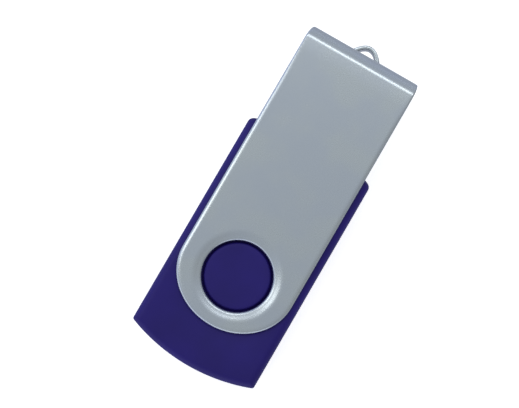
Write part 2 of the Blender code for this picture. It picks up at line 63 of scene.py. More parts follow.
MM = 0.001
PIVOT = Vector(frame["joints"][0]["pos_m"])
CLIP_LOW, CLIP_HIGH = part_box("swivel_clip")
STICK_LOW, STICK_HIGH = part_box("upper_shell")
PLUG_LOW, PLUG_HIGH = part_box("plug_shell")
BOARD_LOW, BOARD_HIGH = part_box("circuit_board")
BOARD_MIDDLE_Z = (BOARD_LOW.z + BOARD_HIGH.z) / 2.0


# ---------------------------- settings a user would change

def length(label, description, default):
    return bpy.props.FloatProperty(name=label, description=description, default=default,
                                   subtype="DISTANCE", unit="LENGTH", precision=5)


def colour(label, description, default):
    return bpy.props.FloatVectorProperty(name=label, description=description, default=default,
                                         subtype="COLOR", size=3, min=0.0, max=1.0)


def share(label, description, default):
    return bpy.props.FloatProperty(name=label, description=description, default=default,
                                   min=0.0, max=1.0, subtype="FACTOR")


class ClipSettings(bpy.types.PropertyGroup):
    """The bent strip of painted sheet metal."""
    sheet: length("Sheet", "Thickness of the sheet metal", 0.6 * MM)
    bend_radius: length("Bend radius", "Outer radius of the two bends at the closed end", 2.15 * MM)
    hole_radius: length("Hole radius", "Radius of the round hole in each leg", 5.18 * MM)
    dish_radius: length("Dish radius", "Where the drawn-in rim starts", 6.8 * MM)
    rim_radius: length("Rim radius", "Where the drawn-in rim is level again", 5.1 * MM)
    dish_depth: length("Dish depth", "How far the rim of the hole is drawn in", 0.18 * MM)
    edge_roll: length("Edge roll", "Width of the rounding along the punched edges", 0.65 * MM)
    loop_rise: length("Loop rise", "How far the lanyard loop stands out", 1.83 * MM)
    loop_half_span: length("Loop half span", "Half the distance between the loop's feet", 2.6 * MM)
    paint: colour("Paint", "Colour of the silver paint", (0.484, 0.536, 0.558))
    grain: share("Grain", "How strongly the metal flakes in the paint show", 0.3)


class StickSettings(bpy.types.PropertyGroup):
    """The two plastic half shells."""
    edge_radius: length("Edge radius", "Rounding of the stick's long edges", 1.1 * MM)
    wall: length("Wall", "Thickness of the plastic", 1.2 * MM)
    boss_radius: length("Boss radius", "Radius of the round boss at its top", 4.8 * MM)
    groove_radius: length("Groove radius", "Outer radius of the groove round the boss", 7.6 * MM)
    plastic: colour("Plastic", "Colour of the plastic", (0.016, 0.0087, 0.142))


class PlugSettings(bpy.types.PropertyGroup):
    """The plug's steel shell, tongue and contacts."""
    wall: length("Wall", "Thickness of the plug's steel", 0.3 * MM)
    corner: length("Corner", "Rounding of the tube's corners", 0.55 * MM)
    plating: colour("Plating", "Colour of the nickel plating", (0.62, 0.61, 0.59))
    nylon: colour("Tongue", "Colour of the moulded tongue", (0.012, 0.012, 0.013))
    gold: colour("Gold", "Colour of the contacts", (0.83, 0.58, 0.22))


class BoardSettings(bpy.types.PropertyGroup):
    """The circuit board and what is soldered to it."""
    solder_mask: colour("Solder mask", "Colour of the board's lacquer", (0.008, 0.085, 0.032))
    pin_pitch: length("Pin pitch", "Distance between the legs of the two large chips", 0.5 * MM)
    pin_width: length("Pin width", "Width of the large chips' legs", 0.22 * MM)
    trace_width: length("Trace width", "Width of the copper traces", 0.15 * MM)
    via_seed: bpy.props.IntProperty(name="Via seed", description="Seed of the vias' places",
                                    default=4, min=0)


class StageSettings(bpy.types.PropertyGroup):
    """The floor, the lights and the camera."""
    floor_colour: colour("Floor", "Colour of the floor", (0.93, 0.93, 0.93))
    floor_glow: share("Floor glow", "How strongly the floor glows by itself", 0.66)
    camera_height: length("Camera height", "Height of the camera above the pivot", 250.0 * MM)
    focal_length: bpy.props.FloatProperty(name="Focal length", description="Camera lens",
                                          default=119.46, subtype="DISTANCE_CAMERA",
                                          unit="CAMERA")


# ---------------------------- wiring materials

class Field:
    """A number that varies over a surface. Arithmetic on it adds Math nodes to its finish."""

    def __init__(self, finish, socket):
        self.finish = finish
        self.socket = socket

    def __add__(self, other):
        return self.finish.math("ADD", self, other)

    def __mul__(self, other):
        return self.finish.math("MULTIPLY", self, other)

    __radd__, __rmul__ = __add__, __mul__

    def __sub__(self, other):
        return self.finish.math("SUBTRACT", self, other)

    def __rsub__(self, other):
        return self.finish.math("SUBTRACT", other, self)

    def __abs__(self):
        return self.finish.math("ABSOLUTE", self, 0.0)

    def above(self, low, high):
        """0 below low, 1 above high, and a smooth step between them."""
        return Field(self.finish, self.finish.step(self, low, high))


class Wiring:
    """A node tree under construction; one call makes a node with its settings and inputs."""

    def __init__(self, tree):
        self.tree = tree

    @staticmethod
    def find(sockets, key):
        if isinstance(key, int):
            return sockets[key]
        for socket in sockets:
            if socket.identifier == key:
                return socket
        return sockets[key]

    def node(self, kind, settings=None, inputs=None):
        made = self.tree.nodes.new(kind)
        for key, value in (settings or {}).items():
            setattr(made, key, value)
        for key, value in (inputs or {}).items():
            self.feed(self.find(made.inputs, key), value)
        return made

    def out(self, kind, settings=None, inputs=None, output=0):
        """One output of a new node."""
        return self.find(self.node(kind, settings, inputs).outputs, output)

    def mix(self, factor, low, high):
        """A colour between two others."""
        inputs = {"Factor_Float": factor, "A_Color": low, "B_Color": high}
        return self.out("ShaderNodeMix", {"data_type": "RGBA"}, inputs, "Result_Color")

    def step(self, value, low, high):
        """0 at low, 1 at high, and a smooth step between them."""
        inputs = {"Value": value, "From Min": low, "From Max": high}
        return self.out("ShaderNodeMapRange", {"interpolation_type": "SMOOTHSTEP"}, inputs)

    def feed(self, socket, value):
        if isinstance(value, Field):
            value = value.socket
        if isinstance(value, bpy.types.NodeSocket):
            self.tree.links.new(value, socket)
        elif socket.type == "RGBA" and len(value) == 3:
            socket.default_value = (*value, 1.0)
        else:
            socket.default_value = value


class Finish(Wiring):
    """A material under construction, around one Principled shader."""

    def __init__(self, name, constants=None):
        self.material = bpy.data.materials.new(name)
        self.material.use_nodes = True
        super().__init__(self.material.node_tree)
        self.shader = self.tree.nodes["Principled BSDF"]
        for label, value in (constants or {}).items():
            self.shader.inputs[label].default_value = value
        self.place = self.out("ShaderNodeTexCoord", output="Object")

    def field(self, kind, settings, inputs, output=0):
        return Field(self, self.out(kind, settings, inputs, output))

    def math(self, operation, first, second):
        return self.field("ShaderNodeMath", {"operation": operation}, {0: first, 1: second})

    def stretched(self, scale):
        """Object coordinates with each axis scaled on its own."""
        return self.out("ShaderNodeMapping", None, {"Vector": self.place, "Scale": scale})

    def noise(self, size, detail=2.0, vector=None):
        """Noise from about 0 to 1 whose lumps are about size metres across."""
        inputs = {"Vector": self.place if vector is None else vector,
                  "Scale": 1.0 / size, "Detail": detail}
        return self.field("ShaderNodeTexNoise", None, inputs)

    def cells(self, size, output="Distance"):
        """Distance to the nearest of scattered points, or a random value for each cell."""
        inputs = {"Vector": self.place, "Scale": 1.0 / size}
        return self.field("ShaderNodeTexVoronoi", None, inputs, output)

    def along(self, axis):
        """One object coordinate, in metres."""
        return self.field("ShaderNodeSeparateXYZ", None, {0: self.place}, axis)

    def set(self, label, value):
        self.feed(self.shader.inputs[label], value)

    def coat(self, colour, roughness, height, distance, strength=1.0):
        """Sets the colour, the roughness and the fine relief, and gives the finished material."""
        self.set("Base Color", colour)
        self.set("Roughness", roughness)
        inputs = {"Height": height, "Distance": distance, "Strength": strength}
        self.set("Normal", self.out("ShaderNodeBump", None, inputs))
        return self.material


class Pattern(Wiring):
    """A Geometry Nodes tree under construction, with named sizes as its inputs."""

    def __init__(self, name):
        super().__init__(bpy.data.node_groups.new(name, "GeometryNodeTree"))
        for way in ("INPUT", "OUTPUT"):
            self.tree.interface.new_socket("Geometry", in_out=way,
                                           socket_type="NodeSocketGeometry")
        self.entry = self.node("NodeGroupInput")
        self.base = self.entry.outputs["Geometry"]
        self.values = {}

    def size(self, label, value, kind="Float"):
        """A named input: a length in metres, or another number."""
        socket = self.tree.interface.new_socket(label, in_out="INPUT",
                                                socket_type="NodeSocket" + kind)
        self.values[socket.identifier] = value
        return self.entry.outputs[label]

    def geo(self, kind, inputs, settings=None):
        """The first output of a new geometry node."""
        return self.out("GeometryNode" + kind, settings, inputs)

    def times(self, first, second):
        return self.out("ShaderNodeMath", {"operation": "MULTIPLY"}, {0: first, 1: second})

    def attribute(self, name):
        return self.geo("InputNamedAttribute", {"Name": name}, {"data_type": "FLOAT_VECTOR"})

    def sweep(self, path, width, height):
        """A strip of rectangular section along a path, closed at its ends."""
        section = self.geo("CurvePrimitiveQuadrilateral", {"Width": width, "Height": height})
        return self.geo("CurveToMesh",
                        {"Curve": path, "Profile Curve": section, "Fill Caps": True})

    def copies(self, instance, points, **more):
        inputs = {"Points": points, "Instance": instance, **more}
        return self.geo("InstanceOnPoints", inputs)

    def grow(self, name, base, geometry, finish, slot):
        """Runs the tree on a base mesh and keeps the result as a plain piece of the stick."""
        whole = self.geo("RealizeInstances", {"Geometry": geometry})
        coated = self.geo("SetMaterial", {"Geometry": whole, "Material": finish})
        self.node("NodeGroupOutput", None, {"Geometry": coated})
        piece = link_object(name, base)
        modifier = piece.modifiers.new(name, "NODES")
        modifier.node_group = self.tree
        for identifier, value in self.values.items():
            modifier[identifier] = value
        keep_result(piece)
        bm = bmesh.new()
        bm.from_mesh(piece.data)
        bmesh.ops.translate(bm, verts=bm.verts, vec=PIVOT)
        bmesh.ops.recalc_face_normals(bm, faces=bm.faces)
        bm.to_mesh(piece.data)
        bm.free()
        smooth(piece.data, 35.0)
        finished(piece, "stick", slot)


def shade(rgb, factor):
    return tuple(channel * factor for channel in rgb)


def silver_paint(settings):
    """Satin silver paint: fine metal flakes, faint cloudiness and a slight orange peel."""
    finish = Finish("silver_paint", {"Metallic": 0.85})
    flakes = finish.cells(0.07 * MM, output="Color")
    grain = finish.noise(0.11 * MM, 3.0)
    clouds = finish.noise(6.0 * MM)
    peel = finish.noise(0.5 * MM)
    speckle = grain.above(0.3, 0.7)
    body = tuple(settings.paint)
    cool = (body[0] * 0.98, body[1] * 0.99, body[2] * 1.05)
    warm = (body[0] * 1.02, body[1] * 1.02, body[2] * 1.02)
    base = finish.mix(clouds.above(0.35, 0.65), cool, warm)
    return finish.coat(finish.mix(speckle * settings.grain, base, shade(body, 1.2)),
                       0.24 + 0.02 * flakes + 0.03 * clouds,
                       peel * 0.8 + grain * 0.2, 0.004 * MM, 0.04)


def navy_plastic(settings):
    """Moulded navy plastic with a fine matt grain and a few specks of dust."""
    finish = Finish("navy_plastic", {"Specular IOR Level": 0.22})
    body = tuple(settings.plastic)
    clouds = finish.noise(7.0 * MM)
    grain = finish.noise(0.09 * MM)
    dust = 1.0 - finish.cells(2.6 * MM).above(0.018, 0.03)
    base = finish.mix(clouds.above(0.3, 0.7), shade(body, 0.92), shade(body, 1.1))
    return finish.coat(finish.mix(dust * 0.35, base, (0.10, 0.09, 0.22)),
                       0.40 + 0.12 * grain + 0.06 * clouds, grain, 0.006 * MM, 0.5)


def nickel_plate(settings):
    """Bright nickel on rolled steel, with faint draw lines along the plug."""
    finish = Finish("nickel_plate", {"Metallic": 1.0})
    lines = finish.noise(0.12 * MM, 3.0, finish.stretched((0.03, 1.0, 1.0)))
    clouds = finish.noise(3.0 * MM)
    body = tuple(settings.plating)
    return finish.coat(finish.mix(clouds.above(0.3, 0.7), shade(body, 0.93), body),
                       0.16 + 0.14 * lines, lines, 0.002 * MM, 0.4)


def grained(name, constants, colours, size, roughness, bump, stretch=None):
    """A finish made by one fine noise, which tints, roughens and raises the surface."""
    finish = Finish(name, constants)
    grain = finish.noise(size, 2.0, finish.stretched(stretch) if stretch else None)
    return finish.coat(finish.mix(grain, *colours),
                       roughness[0] + roughness[1] * grain, grain, *bump)


def black_nylon(settings):
    body = tuple(settings.nylon)
    return grained("black_nylon", {"Specular IOR Level": 0.45}, (body, shade(body, 1.7)),
                   0.12 * MM, (0.42, 0.15), (0.005 * MM, 0.4))


def gold_plate(settings):
    body = tuple(settings.gold)
    return grained("gold_plate", {"Metallic": 1.0}, (shade(body, 0.86), body),
                   0.06 * MM, (0.2, 0.12), (0.001 * MM, 0.3), (0.05, 1.0, 1.0))


def crystal_can():
    """Drawn nickel silver with fine brushing along the can."""
    return grained("crystal_can", {"Metallic": 1.0}, ((0.50, 0.49, 0.46), (0.66, 0.65, 0.62)),
                   0.05 * MM, (0.22, 0.18), (0.003 * MM, 0.4), (0.05, 1.0, 1.0))


def green_laminate(settings):
    """Solder mask over copper on both faces, and bare layered glass cloth round the edge."""
    finish = Finish("green_laminate", {"Specular IOR Level": 0.5})
    mask_colour = tuple(settings.solder_mask)
    thickness = BOARD_HIGH.z - BOARD_LOW.z
    depth = abs(finish.along("Z") - BOARD_MIDDLE_Z)
    face = depth.above(thickness * 0.45, thickness * 0.48)
    weave = finish.noise(0.25 * MM, vector=finish.stretched((0.4, 0.4, 3.0)))
    copper = finish.cells(1.6 * MM, "Color").above(0.45, 0.5)
    cloth = finish.mix(weave, (0.22, 0.24, 0.09), (0.36, 0.35, 0.16))
    mask = finish.mix(copper, mask_colour, shade(mask_colour, 1.8))
    return finish.coat(finish.mix(face, cloth, mask),
                       0.62 - 0.36 * face + 0.08 * weave, weave + copper * 0.5, 0.01 * MM, 0.4)


def chip_moulding():
    """Matt black moulding compound with a sandy grain."""
    finish = Finish("chip_moulding", {"Specular IOR Level": 0.4})
    grain = finish.noise(0.05 * MM, 3.0)
    clouds = finish.noise(1.5 * MM)
    return finish.coat(finish.mix(grain, (0.010, 0.010, 0.011), (0.030, 0.030, 0.032)),
                       0.5 + 0.2 * grain + 0.08 * clouds, grain, 0.008 * MM, 0.6)


def tin_plate():
    """Tin and solder: bright, slightly frosted and uneven."""
    finish = Finish("tin_plate", {"Metallic": 1.0})
    frost = finish.noise(0.07 * MM, 3.0)
    waves = finish.noise(0.5 * MM)
    return finish.coat(finish.mix(waves, (0.56, 0.56, 0.57), (0.72, 0.72, 0.71)),
                       0.2 + 0.2 * frost, frost * 0.4 + waves * 0.6, 0.006 * MM, 0.5)


def capacitor_ceramic():
    """Fired brown ceramic, with the faint layering of its electrodes."""
    finish = Finish("capacitor_ceramic", {"Specular IOR Level": 0.45})
    layers = finish.noise(0.05 * MM, 1.0, finish.stretched((0.05, 0.05, 1.0)))
    specks = finish.noise(0.06 * MM, 3.0)
    base = finish.mix(layers, (0.20, 0.105, 0.050), (0.30, 0.17, 0.085))
    return finish.coat(finish.mix(specks.above(0.55, 0.7) * 0.3, base, (0.40, 0.27, 0.16)),
                       0.35 + 0.2 * specks, specks, 0.004 * MM, 0.5)


def resistor_film():
    """White alumina with a black glazed film on the side away from the board."""
    finish = Finish("resistor_film", {"Specular IOR Level": 0.5})
    reach = abs(finish.along("Z") - BOARD_MIDDLE_Z)
    film = reach.above(0.9 * MM, 0.93 * MM)
    grain = finish.noise(0.06 * MM, 3.0)
    alumina = finish.mix(grain, (0.62, 0.62, 0.60), (0.80, 0.80, 0.78))
    glaze = finish.mix(grain, (0.006, 0.007, 0.009), (0.016, 0.018, 0.022))
    return finish.coat(finish.mix(film, alumina, glaze),
                       0.6 - 0.35 * film + 0.1 * grain, grain, 0.004 * MM, 0.5)


def led_lens():
    """A cloudy lens over a warm phosphor, on a white body."""
    finish = Finish("led_lens", {"Specular IOR Level": 0.5})
    height = (finish.along("Z") - BOARD_HIGH.z).above(0.36 * MM, 0.42 * MM)
    cloud = finish.noise(0.12 * MM)
    lens = finish.mix(cloud, (0.80, 0.74, 0.42), (0.86, 0.82, 0.58))
    return finish.coat(finish.mix(height, (0.80, 0.80, 0.76), lens),
                       0.5 - 0.35 * height + 0.1 * cloud, cloud, 0.004 * MM, 0.4)


# ---------------------------- shaping meshes

def arc(cx, cy, radius, start, end, steps):
    turn = (end - start) / steps
    return [(cx + radius * math.cos(start + turn * i), cy + radius * math.sin(start + turn * i))
            for i in range(steps + 1)]


def flat_loop(points, z):
    return [Vector((x, y, z)) for x, y in points]


def local_box(node):
    """A CAD node's lowest and highest corners, measured from the pivot."""
    low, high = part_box(node)
    return low - PIVOT, high - PIVOT


def board_side(node):
    """+1 for a part on the board's upper face, and -1 for one on its lower face."""
    return 1.0 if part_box(node)[0].z > BOARD_HIGH.z else -1.0


def board_face(side):
    return (BOARD_HIGH.z if side > 0 else BOARD_LOW.z) - PIVOT.z


def evenly(start, end, steps):
    return [start + (end - start) * i / steps for i in range(steps + 1)]


def smooth(mesh, sharp_above):
    mesh.shade_smooth()
    mesh.set_sharp_from_angle(angle=math.radians(sharp_above))


def link_object(name, data):
    made = bpy.data.objects.new(name, data)
    bpy.context.collection.objects.link(made)
    return made


def link_piece(name, bm, finish, sharp_above=40.0):
    """Moves a bmesh from the pivot's frame to the world, and makes it a smooth-shaded object."""
    bmesh.ops.translate(bm, verts=bm.verts, vec=PIVOT)
    mesh = bpy.data.meshes.new(name)
    bm.to_mesh(mesh)
    bm.free()
    mesh.materials.append(finish)
    smooth(mesh, sharp_above)
    return link_object(name, mesh)


def keep_result(piece):
    """Replaces a piece's mesh with what its modifiers make of it, and removes them."""
    bpy.context.view_layer.update()
    evaluated = piece.evaluated_get(bpy.context.evaluated_depsgraph_get())
    result = bpy.data.meshes.new_from_object(evaluated)
    piece.modifiers.clear()
    piece.data = result


def add_quads(bm, low, high, closed):
    last = len(low) if closed else len(low) - 1
    for i in range(last):
        j = (i + 1) % len(low)
        bm.faces.new((low[i], low[j], high[j], high[i]))


def loft(loops):
    """Skins a list of equal-length closed point loops and caps both ends."""
    bm = bmesh.new()
    rings = [[bm.verts.new(point) for point in loop] for loop in loops]
    for low, high in zip(rings, rings[1:]):
        add_quads(bm, low, high, True)
    bm.faces.new(rings[0])
    bm.faces.new(rings[-1])
    bmesh.ops.recalc_face_normals(bm, faces=bm.faces)
    return bm


def prism(outline, low, high):
    return loft([flat_loop(outline, low), flat_loop(outline, high)])


def shifted(points, x, y):
    return [(a + x, b + y) for a, b in points]


def block_mesh(low, high):
    corners = [(low[0], low[1]), (high[0], low[1]), (high[0], high[1]), (low[0], high[1])]
    return prism(corners, low[2], high[2])


def circle_at(directions, radius):
    """A circle about the pivot with one point in the direction of each given point."""
    points = []
    for x, y in directions:
        reach = math.hypot(x, y)
        points.append((x / reach * radius, y / reach * radius))
    return points


def combine(piece, operation, *shapes):
    """Cuts or joins bmeshes into a piece for good."""
    tools = [link_piece("tool", bm, piece.data.materials[0]) for bm in shapes]
    for tool in tools:
        step = piece.modifiers.new("step", "BOOLEAN")
        step.operation = operation
        step.solver = "EXACT"
        step.object = tool
    keep_result(piece)
    for tool in tools:
        bpy.data.objects.remove(tool, do_unlink=True)


def soften(piece, width):
    """Rounds a piece's sharp edges and keeps the shading of its flat faces flat."""
    bevel = piece.modifiers.new("edges", "BEVEL")
    bevel.width = width
    bevel.segments = 2
    bevel.limit_method = "ANGLE"
    bevel.angle_limit = math.radians(40.0)
    keep_result(piece)
    smooth(piece.data, 35.0)
    even = piece.modifiers.new("even_shading", "WEIGHTED_NORMAL")
    even.keep_sharp = True
    keep_result(piece)


def finished(piece, body, slot, *nodes):
    """Puts a piece on its body, in place of the nodes it shows; the slot is not used."""
    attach(piece, body)
    if nodes:
        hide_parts(*nodes)


# ---------------------------- the clip

class ClipSheet:
    """The clip's sheet as two matching skins, an outer and an inner, a thickness apart."""

    # The rounding of the punched edges: rows of points, a chamfered lip, and the inner face's.
    ROLL_STEPS = (0.0, 0.03, 0.1, 0.2, 0.35, 0.55, 0.8, 1.0, 1.3)
    ROLL_RADIUS = 2.4               # times the width of the rounding
    ROLL_FADE = 7.0 * MM
    LEAST_ROLL = 0.15
    LIP = 0.14 * MM
    LIP_SLOPE = 0.7
    INNER_ROLL = 0.08 * MM
    HOLE_STEPS = (0.0, 0.05, 0.12, 0.2, 0.35, 0.5, 0.75, 1.0)
    HOLE_ROLL = 0.42 * MM
    HOLE_ARC = 1.1 * MM

    # The free room that rings round the hole keep, and where rows go between them and the edge.
    RING_ROOM = 0.97
    BETWEEN = (0.25, 0.55)

    # Where a leg's round end gives way to plain strip, and how far the bends pull the sides in.
    JOIN_X = 12.0 * MM
    NARROWING = 0.28 * MM

    # The lanyard loop: half heights of the slit and of the raised strip, the depth and softness
    # of its feet, side margins, its thinning, the width and depth of the rounded edges beside
    # the slit, and the distances in millimetres at which rows follow those edges.
    LANCE_HALF = 1.2 * MM
    STRIP_HALF = 1.1 * MM
    FOOT_SET = 0.3 * MM
    FOOT_SOFTNESS = 0.07 * MM
    FOOT_MARGIN = 0.35 * MM
    SLIT_MARGIN = 0.1 * MM
    FINE_MARGIN = 0.4 * MM
    THINNING = 0.05 * MM
    SLOPE_STEP = 0.01 * MM
    LOOP_EDGE = (0.08 * MM, 0.06 * MM)
    SLIT_EDGE = (0.16 * MM, 0.12 * MM)
    SLIT_STEPS = (0.0, 0.04, 0.1, 0.2, 0.5, 0.8)

    def __init__(self, settings):
        self.s = settings
        self.half_width = (CLIP_HIGH.y - CLIP_LOW.y) / 2.0
        self.half_height = (CLIP_HIGH.z - CLIP_LOW.z) / 2.0
        self.rear = PIVOT.x - CLIP_LOW.x
        self.end = CLIP_HIGH.x - settings.loop_rise - PIVOT.x
        self.rolls = [settings.edge_roll * step for step in self.ROLL_STEPS]
        self.bm = bmesh.new()

    def edge_drop(self, distance, roll, depth):
        """How far a rounded edge has dropped at a distance from it."""
        if distance >= roll:
            return 0.0
        reach = 1.0 - max(distance, 0.0) / roll
        return depth * (1.0 - math.sqrt(max(0.0, 1.0 - reach * reach)))

    def arc_drop(self, distance, width, radius):
        """The same for a shallow circular rounding that starts at a width from the edge."""
        reach = max(width - max(distance, 0.0), 0.0)
        return radius - math.sqrt(radius * radius - reach * reach)

    def side_drop(self, distance, x):
        """The wide, shallow rounding of the strip's sides, which fades out towards the bends."""
        roll = self.s.edge_roll
        fade = min(max((self.end - self.s.bend_radius - x) / self.ROLL_FADE, 0.0), 1.0)
        fade = self.LEAST_ROLL + (1.0 - self.LEAST_ROLL) * fade * fade * (3.0 - 2.0 * fade)
        return fade * self.arc_drop(distance, roll, self.ROLL_RADIUS * roll)

    def skins(self, point, normal, border, hole):
        """The outer and inner vertex at a point of the sheet's ideal outer face."""
        outer = (self.side_drop(border, point.x)
                 + self.arc_drop(hole, self.HOLE_ROLL, self.HOLE_ARC)
                 + self.LIP_SLOPE * max(self.LIP - max(min(border, hole), 0.0), 0.0))
        return self.pair(point, normal, outer, min(border, hole), self.s.sheet)

    def pair(self, point, normal, outer, edge, sheet):
        """Two vertices under a point: one for the outer skin and one for the inner."""
        inner = self.edge_drop(edge, self.INNER_ROLL, self.INNER_ROLL)
        return (self.bm.verts.new(point - normal * outer),
                self.bm.verts.new(point - normal * (sheet - inner)))

    def dish_drop(self, radius):
        span = (self.s.dish_radius - radius) / (self.s.dish_radius - self.s.rim_radius)
        span = min(max(span, 0.0), 1.0)
        return self.s.dish_depth * span ** 3 * (10.0 - 15.0 * span + 6.0 * span * span)

    def inner_columns(self):
        """Distances across the sheet between its two edge bands, close together at the loop."""
        flat = self.half_width - self.rolls[-1]
        fine = self.s.loop_half_span + self.FINE_MARGIN
        outer = evenly(-flat, -fine, 5)[:-1]
        return outer + evenly(-fine, fine, 44) + [-y for y in reversed(outer)]

    def end_outline(self, inset):
        """Half ellipse and straight sides of a leg's pivot end, without the line across."""
        half = self.half_width - inset
        reach = self.rear - inset
        side = [(x, half) for x in evenly(self.JOIN_X, 0.0, 16)]
        turns = evenly(math.pi / 2.0, 1.5 * math.pi, 72)
        rear = [(reach * math.cos(turn), half * math.sin(turn)) for turn in turns]
        return side + rear[1:-1] + [(x, -y) for x, y in reversed(side)]

    def leg_vertices(self, outline, border, side):
        """Two vertices for each outline point of the flat leg on one side."""
        pairs = []
        for x, y in outline:
            radius = math.hypot(x, y)
            z = self.half_height - self.dish_drop(radius)
            edge = border if border is not None else 1.0
            normal = Vector((0.0, 0.0, side))
            pairs.append(self.skins(Vector((x, y, side * z)), normal, edge,
                                    radius - self.s.hole_radius))
        return pairs

    def add_rows(self, low, high, closed=False):
        add_quads(self.bm, [p[0] for p in low], [p[0] for p in high], closed)
        add_quads(self.bm, [p[1] for p in low], [p[1] for p in high], closed)

    def add_wall(self, row, closed=False):
        """The sheet's edge, between its two skins."""
        add_quads(self.bm, [p[0] for p in row], [p[1] for p in row], closed)

    def ring(self, loop, radius):
        """A ring round the hole, drawn in where the loop of points leaves too little room."""
        hole = self.s.hole_radius
        room = self.s.dish_radius - hole
        points = []
        for x, y in loop:
            reach = math.hypot(x, y)
            squeeze = min(1.0, (self.RING_ROOM * reach - hole) / room)
            at = hole + (radius - hole) * squeeze
            points.append((x / reach * at, y / reach * at))
        return points

    def add_leg(self, side):
        bands = [self.leg_vertices(self.end_outline(d), d, side) for d in self.rolls]
        for low, high in zip(bands, bands[1:]):
            self.add_rows(low, high)
        self.add_wall(bands[0])

        columns = self.inner_columns()
        loop = self.end_outline(self.rolls[-1]) + [(self.JOIN_X, y) for y in columns[1:-1]]
        hole, dish = self.s.hole_radius, self.s.dish_radius
        radii = [hole + self.HOLE_ROLL * step for step in self.HOLE_STEPS]
        radii += evenly(radii[-1], dish, 14)[1:]
        rings = [self.leg_vertices(self.ring(loop, r), None, side) for r in radii]
        edge = self.ring(loop, dish)
        for part in self.BETWEEN:
            between = [(a[0] + (b[0] - a[0]) * part, a[1] + (b[1] - a[1]) * part)
                       for a, b in zip(edge, loop)]
            rings.append(self.leg_vertices(between, None, side))
        rings.append(self.leg_vertices(loop, None, side))
        for low, high in zip(rings, rings[1:]):
            self.add_rows(low, high, True)
        self.add_wall(rings[0], True)

    def path(self):
        """Rows along the U from the upper leg's join to the lower one's: x, z and the turn."""
        radius = self.s.bend_radius
        bend_x = self.end - radius
        bend_z = self.half_height - radius
        rows = [(x, self.half_height, 0.0) for x in evenly(self.JOIN_X, bend_x, 10)]
        rows += [(bend_x + radius * math.sin(turn), bend_z + radius * math.cos(turn), turn)
                 for turn in evenly(0.0, math.pi / 2.0, 14)[1:]]
        lance, strip = self.LANCE_HALF, self.STRIP_HALF
        heights = evenly(bend_z, lance + self.FOOT_MARGIN, 5)[1:]
        heights += [lance + step * MM for step in reversed(self.SLIT_STEPS[:4])]
        heights += [strip - step * MM for step in self.SLIT_STEPS]
        rows += [(self.end, z, math.pi / 2.0) for z in heights]
        below = [(x, -z, math.pi - turn) for x, z, turn in reversed(rows)]
        return rows + [(self.end, 0.0, math.pi / 2.0)] + below

    def narrowing(self, turn):
        """The bends pull the sheet's sides in a little."""
        share = math.sin(turn)
        return 1.0 - self.NARROWING / self.half_width * share * share

    def loop_rise_at(self, y):
        """Height of the lanyard loop above the clip's end, softly joined at its feet."""
        t = y / self.s.loop_half_span
        bare = (self.s.loop_rise + self.FOOT_SET) * (1.0 - t * t) - self.FOOT_SET
        soft = self.FOOT_SOFTNESS
        if bare / soft > 30.0:
            return bare
        return soft * math.log1p(math.exp(bare / soft))

    def loop_pair(self, y, z, edge):
        """The two vertices of the raised strip, which is a little thinner at its top."""
        step = self.SLOPE_STEP
        rise = self.loop_rise_at(y)
        slope = (self.loop_rise_at(y + step) - self.loop_rise_at(y - step)) / (2.0 * step)
        normal = Vector((1.0, -slope, 0.0)).normalized()
        sheet = self.s.sheet - self.THINNING * rise / self.s.loop_rise
        outer = self.edge_drop(edge, *self.LOOP_EDGE)
        return self.pair(Vector((self.end + rise, y, z)), normal, outer, edge, sheet)

    def in_loop(self, y):
        return abs(y) <= self.s.loop_half_span - self.SLIT_MARGIN

    def row_pairs(self, x, z, turn, columns):
        """Two vertices for each column of one row across the strip."""
        normal = Vector((math.sin(turn), 0.0, math.cos(turn)))
        on_end = abs(math.cos(turn)) < 1e-9
        pairs = []
        for y in columns:
            border = self.half_width - abs(y)
            across = y * self.narrowing(turn)
            near_loop = abs(y) < self.s.loop_half_span + self.FOOT_MARGIN
            if on_end and near_loop and abs(z) <= self.STRIP_HALF + 1e-9:
                edge = self.STRIP_HALF - abs(z) if self.in_loop(y) else 1.0
                pairs.append(self.loop_pair(y, z, edge))
                continue
            slit = abs(z) - self.LANCE_HALF if on_end and self.in_loop(y) else 1.0
            edge = slit if slit >= -1e-9 else 1.0
            drop = self.edge_drop(edge, *self.SLIT_EDGE)
            base = Vector((x, across, z)) - normal * drop
            pairs.append(self.skins(base, normal, border, 1.0))
        return pairs

    def add_strip(self):
        inner = self.inner_columns()
        band = [self.half_width - d for d in self.rolls[:-1]]
        columns = [-y for y in band] + inner + list(reversed(band))
        rows = [(z, self.row_pairs(x, z, turn, columns)) for x, z, turn in self.path()]
        for (z0, low), (z1, high) in zip(rows, rows[1:]):
            slit = abs(abs(z0 + z1) - self.LANCE_HALF - self.STRIP_HALF) < 0.001 * MM
            for i in range(len(columns) - 1):
                open_here = slit and self.in_loop(columns[i]) and self.in_loop(columns[i + 1])
                if not open_here:
                    self.add_rows(low[i:i + 2], high[i:i + 2])
            if slit:
                opening = [i for i, y in enumerate(columns) if self.in_loop(y)]
                first, last = opening[0], opening[-1]
                self.add_wall(low[first:last + 1])
                self.add_wall(high[first:last + 1])
                self.add_wall([low[first], high[first]])
                self.add_wall([low[last], high[last]])
        self.add_wall([row[0] for z, row in rows])
        self.add_wall([row[-1] for z, row in rows])

    def mesh(self):
        self.add_leg(1.0)
        self.add_leg(-1.0)
        self.add_strip()
        bmesh.ops.remove_doubles(self.bm, verts=self.bm.verts, dist=0.0005 * MM)
        bmesh.ops.recalc_face_normals(self.bm, faces=self.bm.faces)
        return self.bm


class DRIVE_OT_clip(bpy.types.Operator):
    """Builds the painted clip with its drawn-in holes, bends and lanyard loop"""
    bl_idname = "drive.clip"
    bl_label = "Build the clip"

    def execute(self, context):
        settings = context.scene.drive_clip
        clip = link_piece("clip_sheet", ClipSheet(settings).mesh(), silver_paint(settings), 50.0)
        finished(clip, "clip", "clip_steel", "swivel_clip")
        return {"FINISHED"}


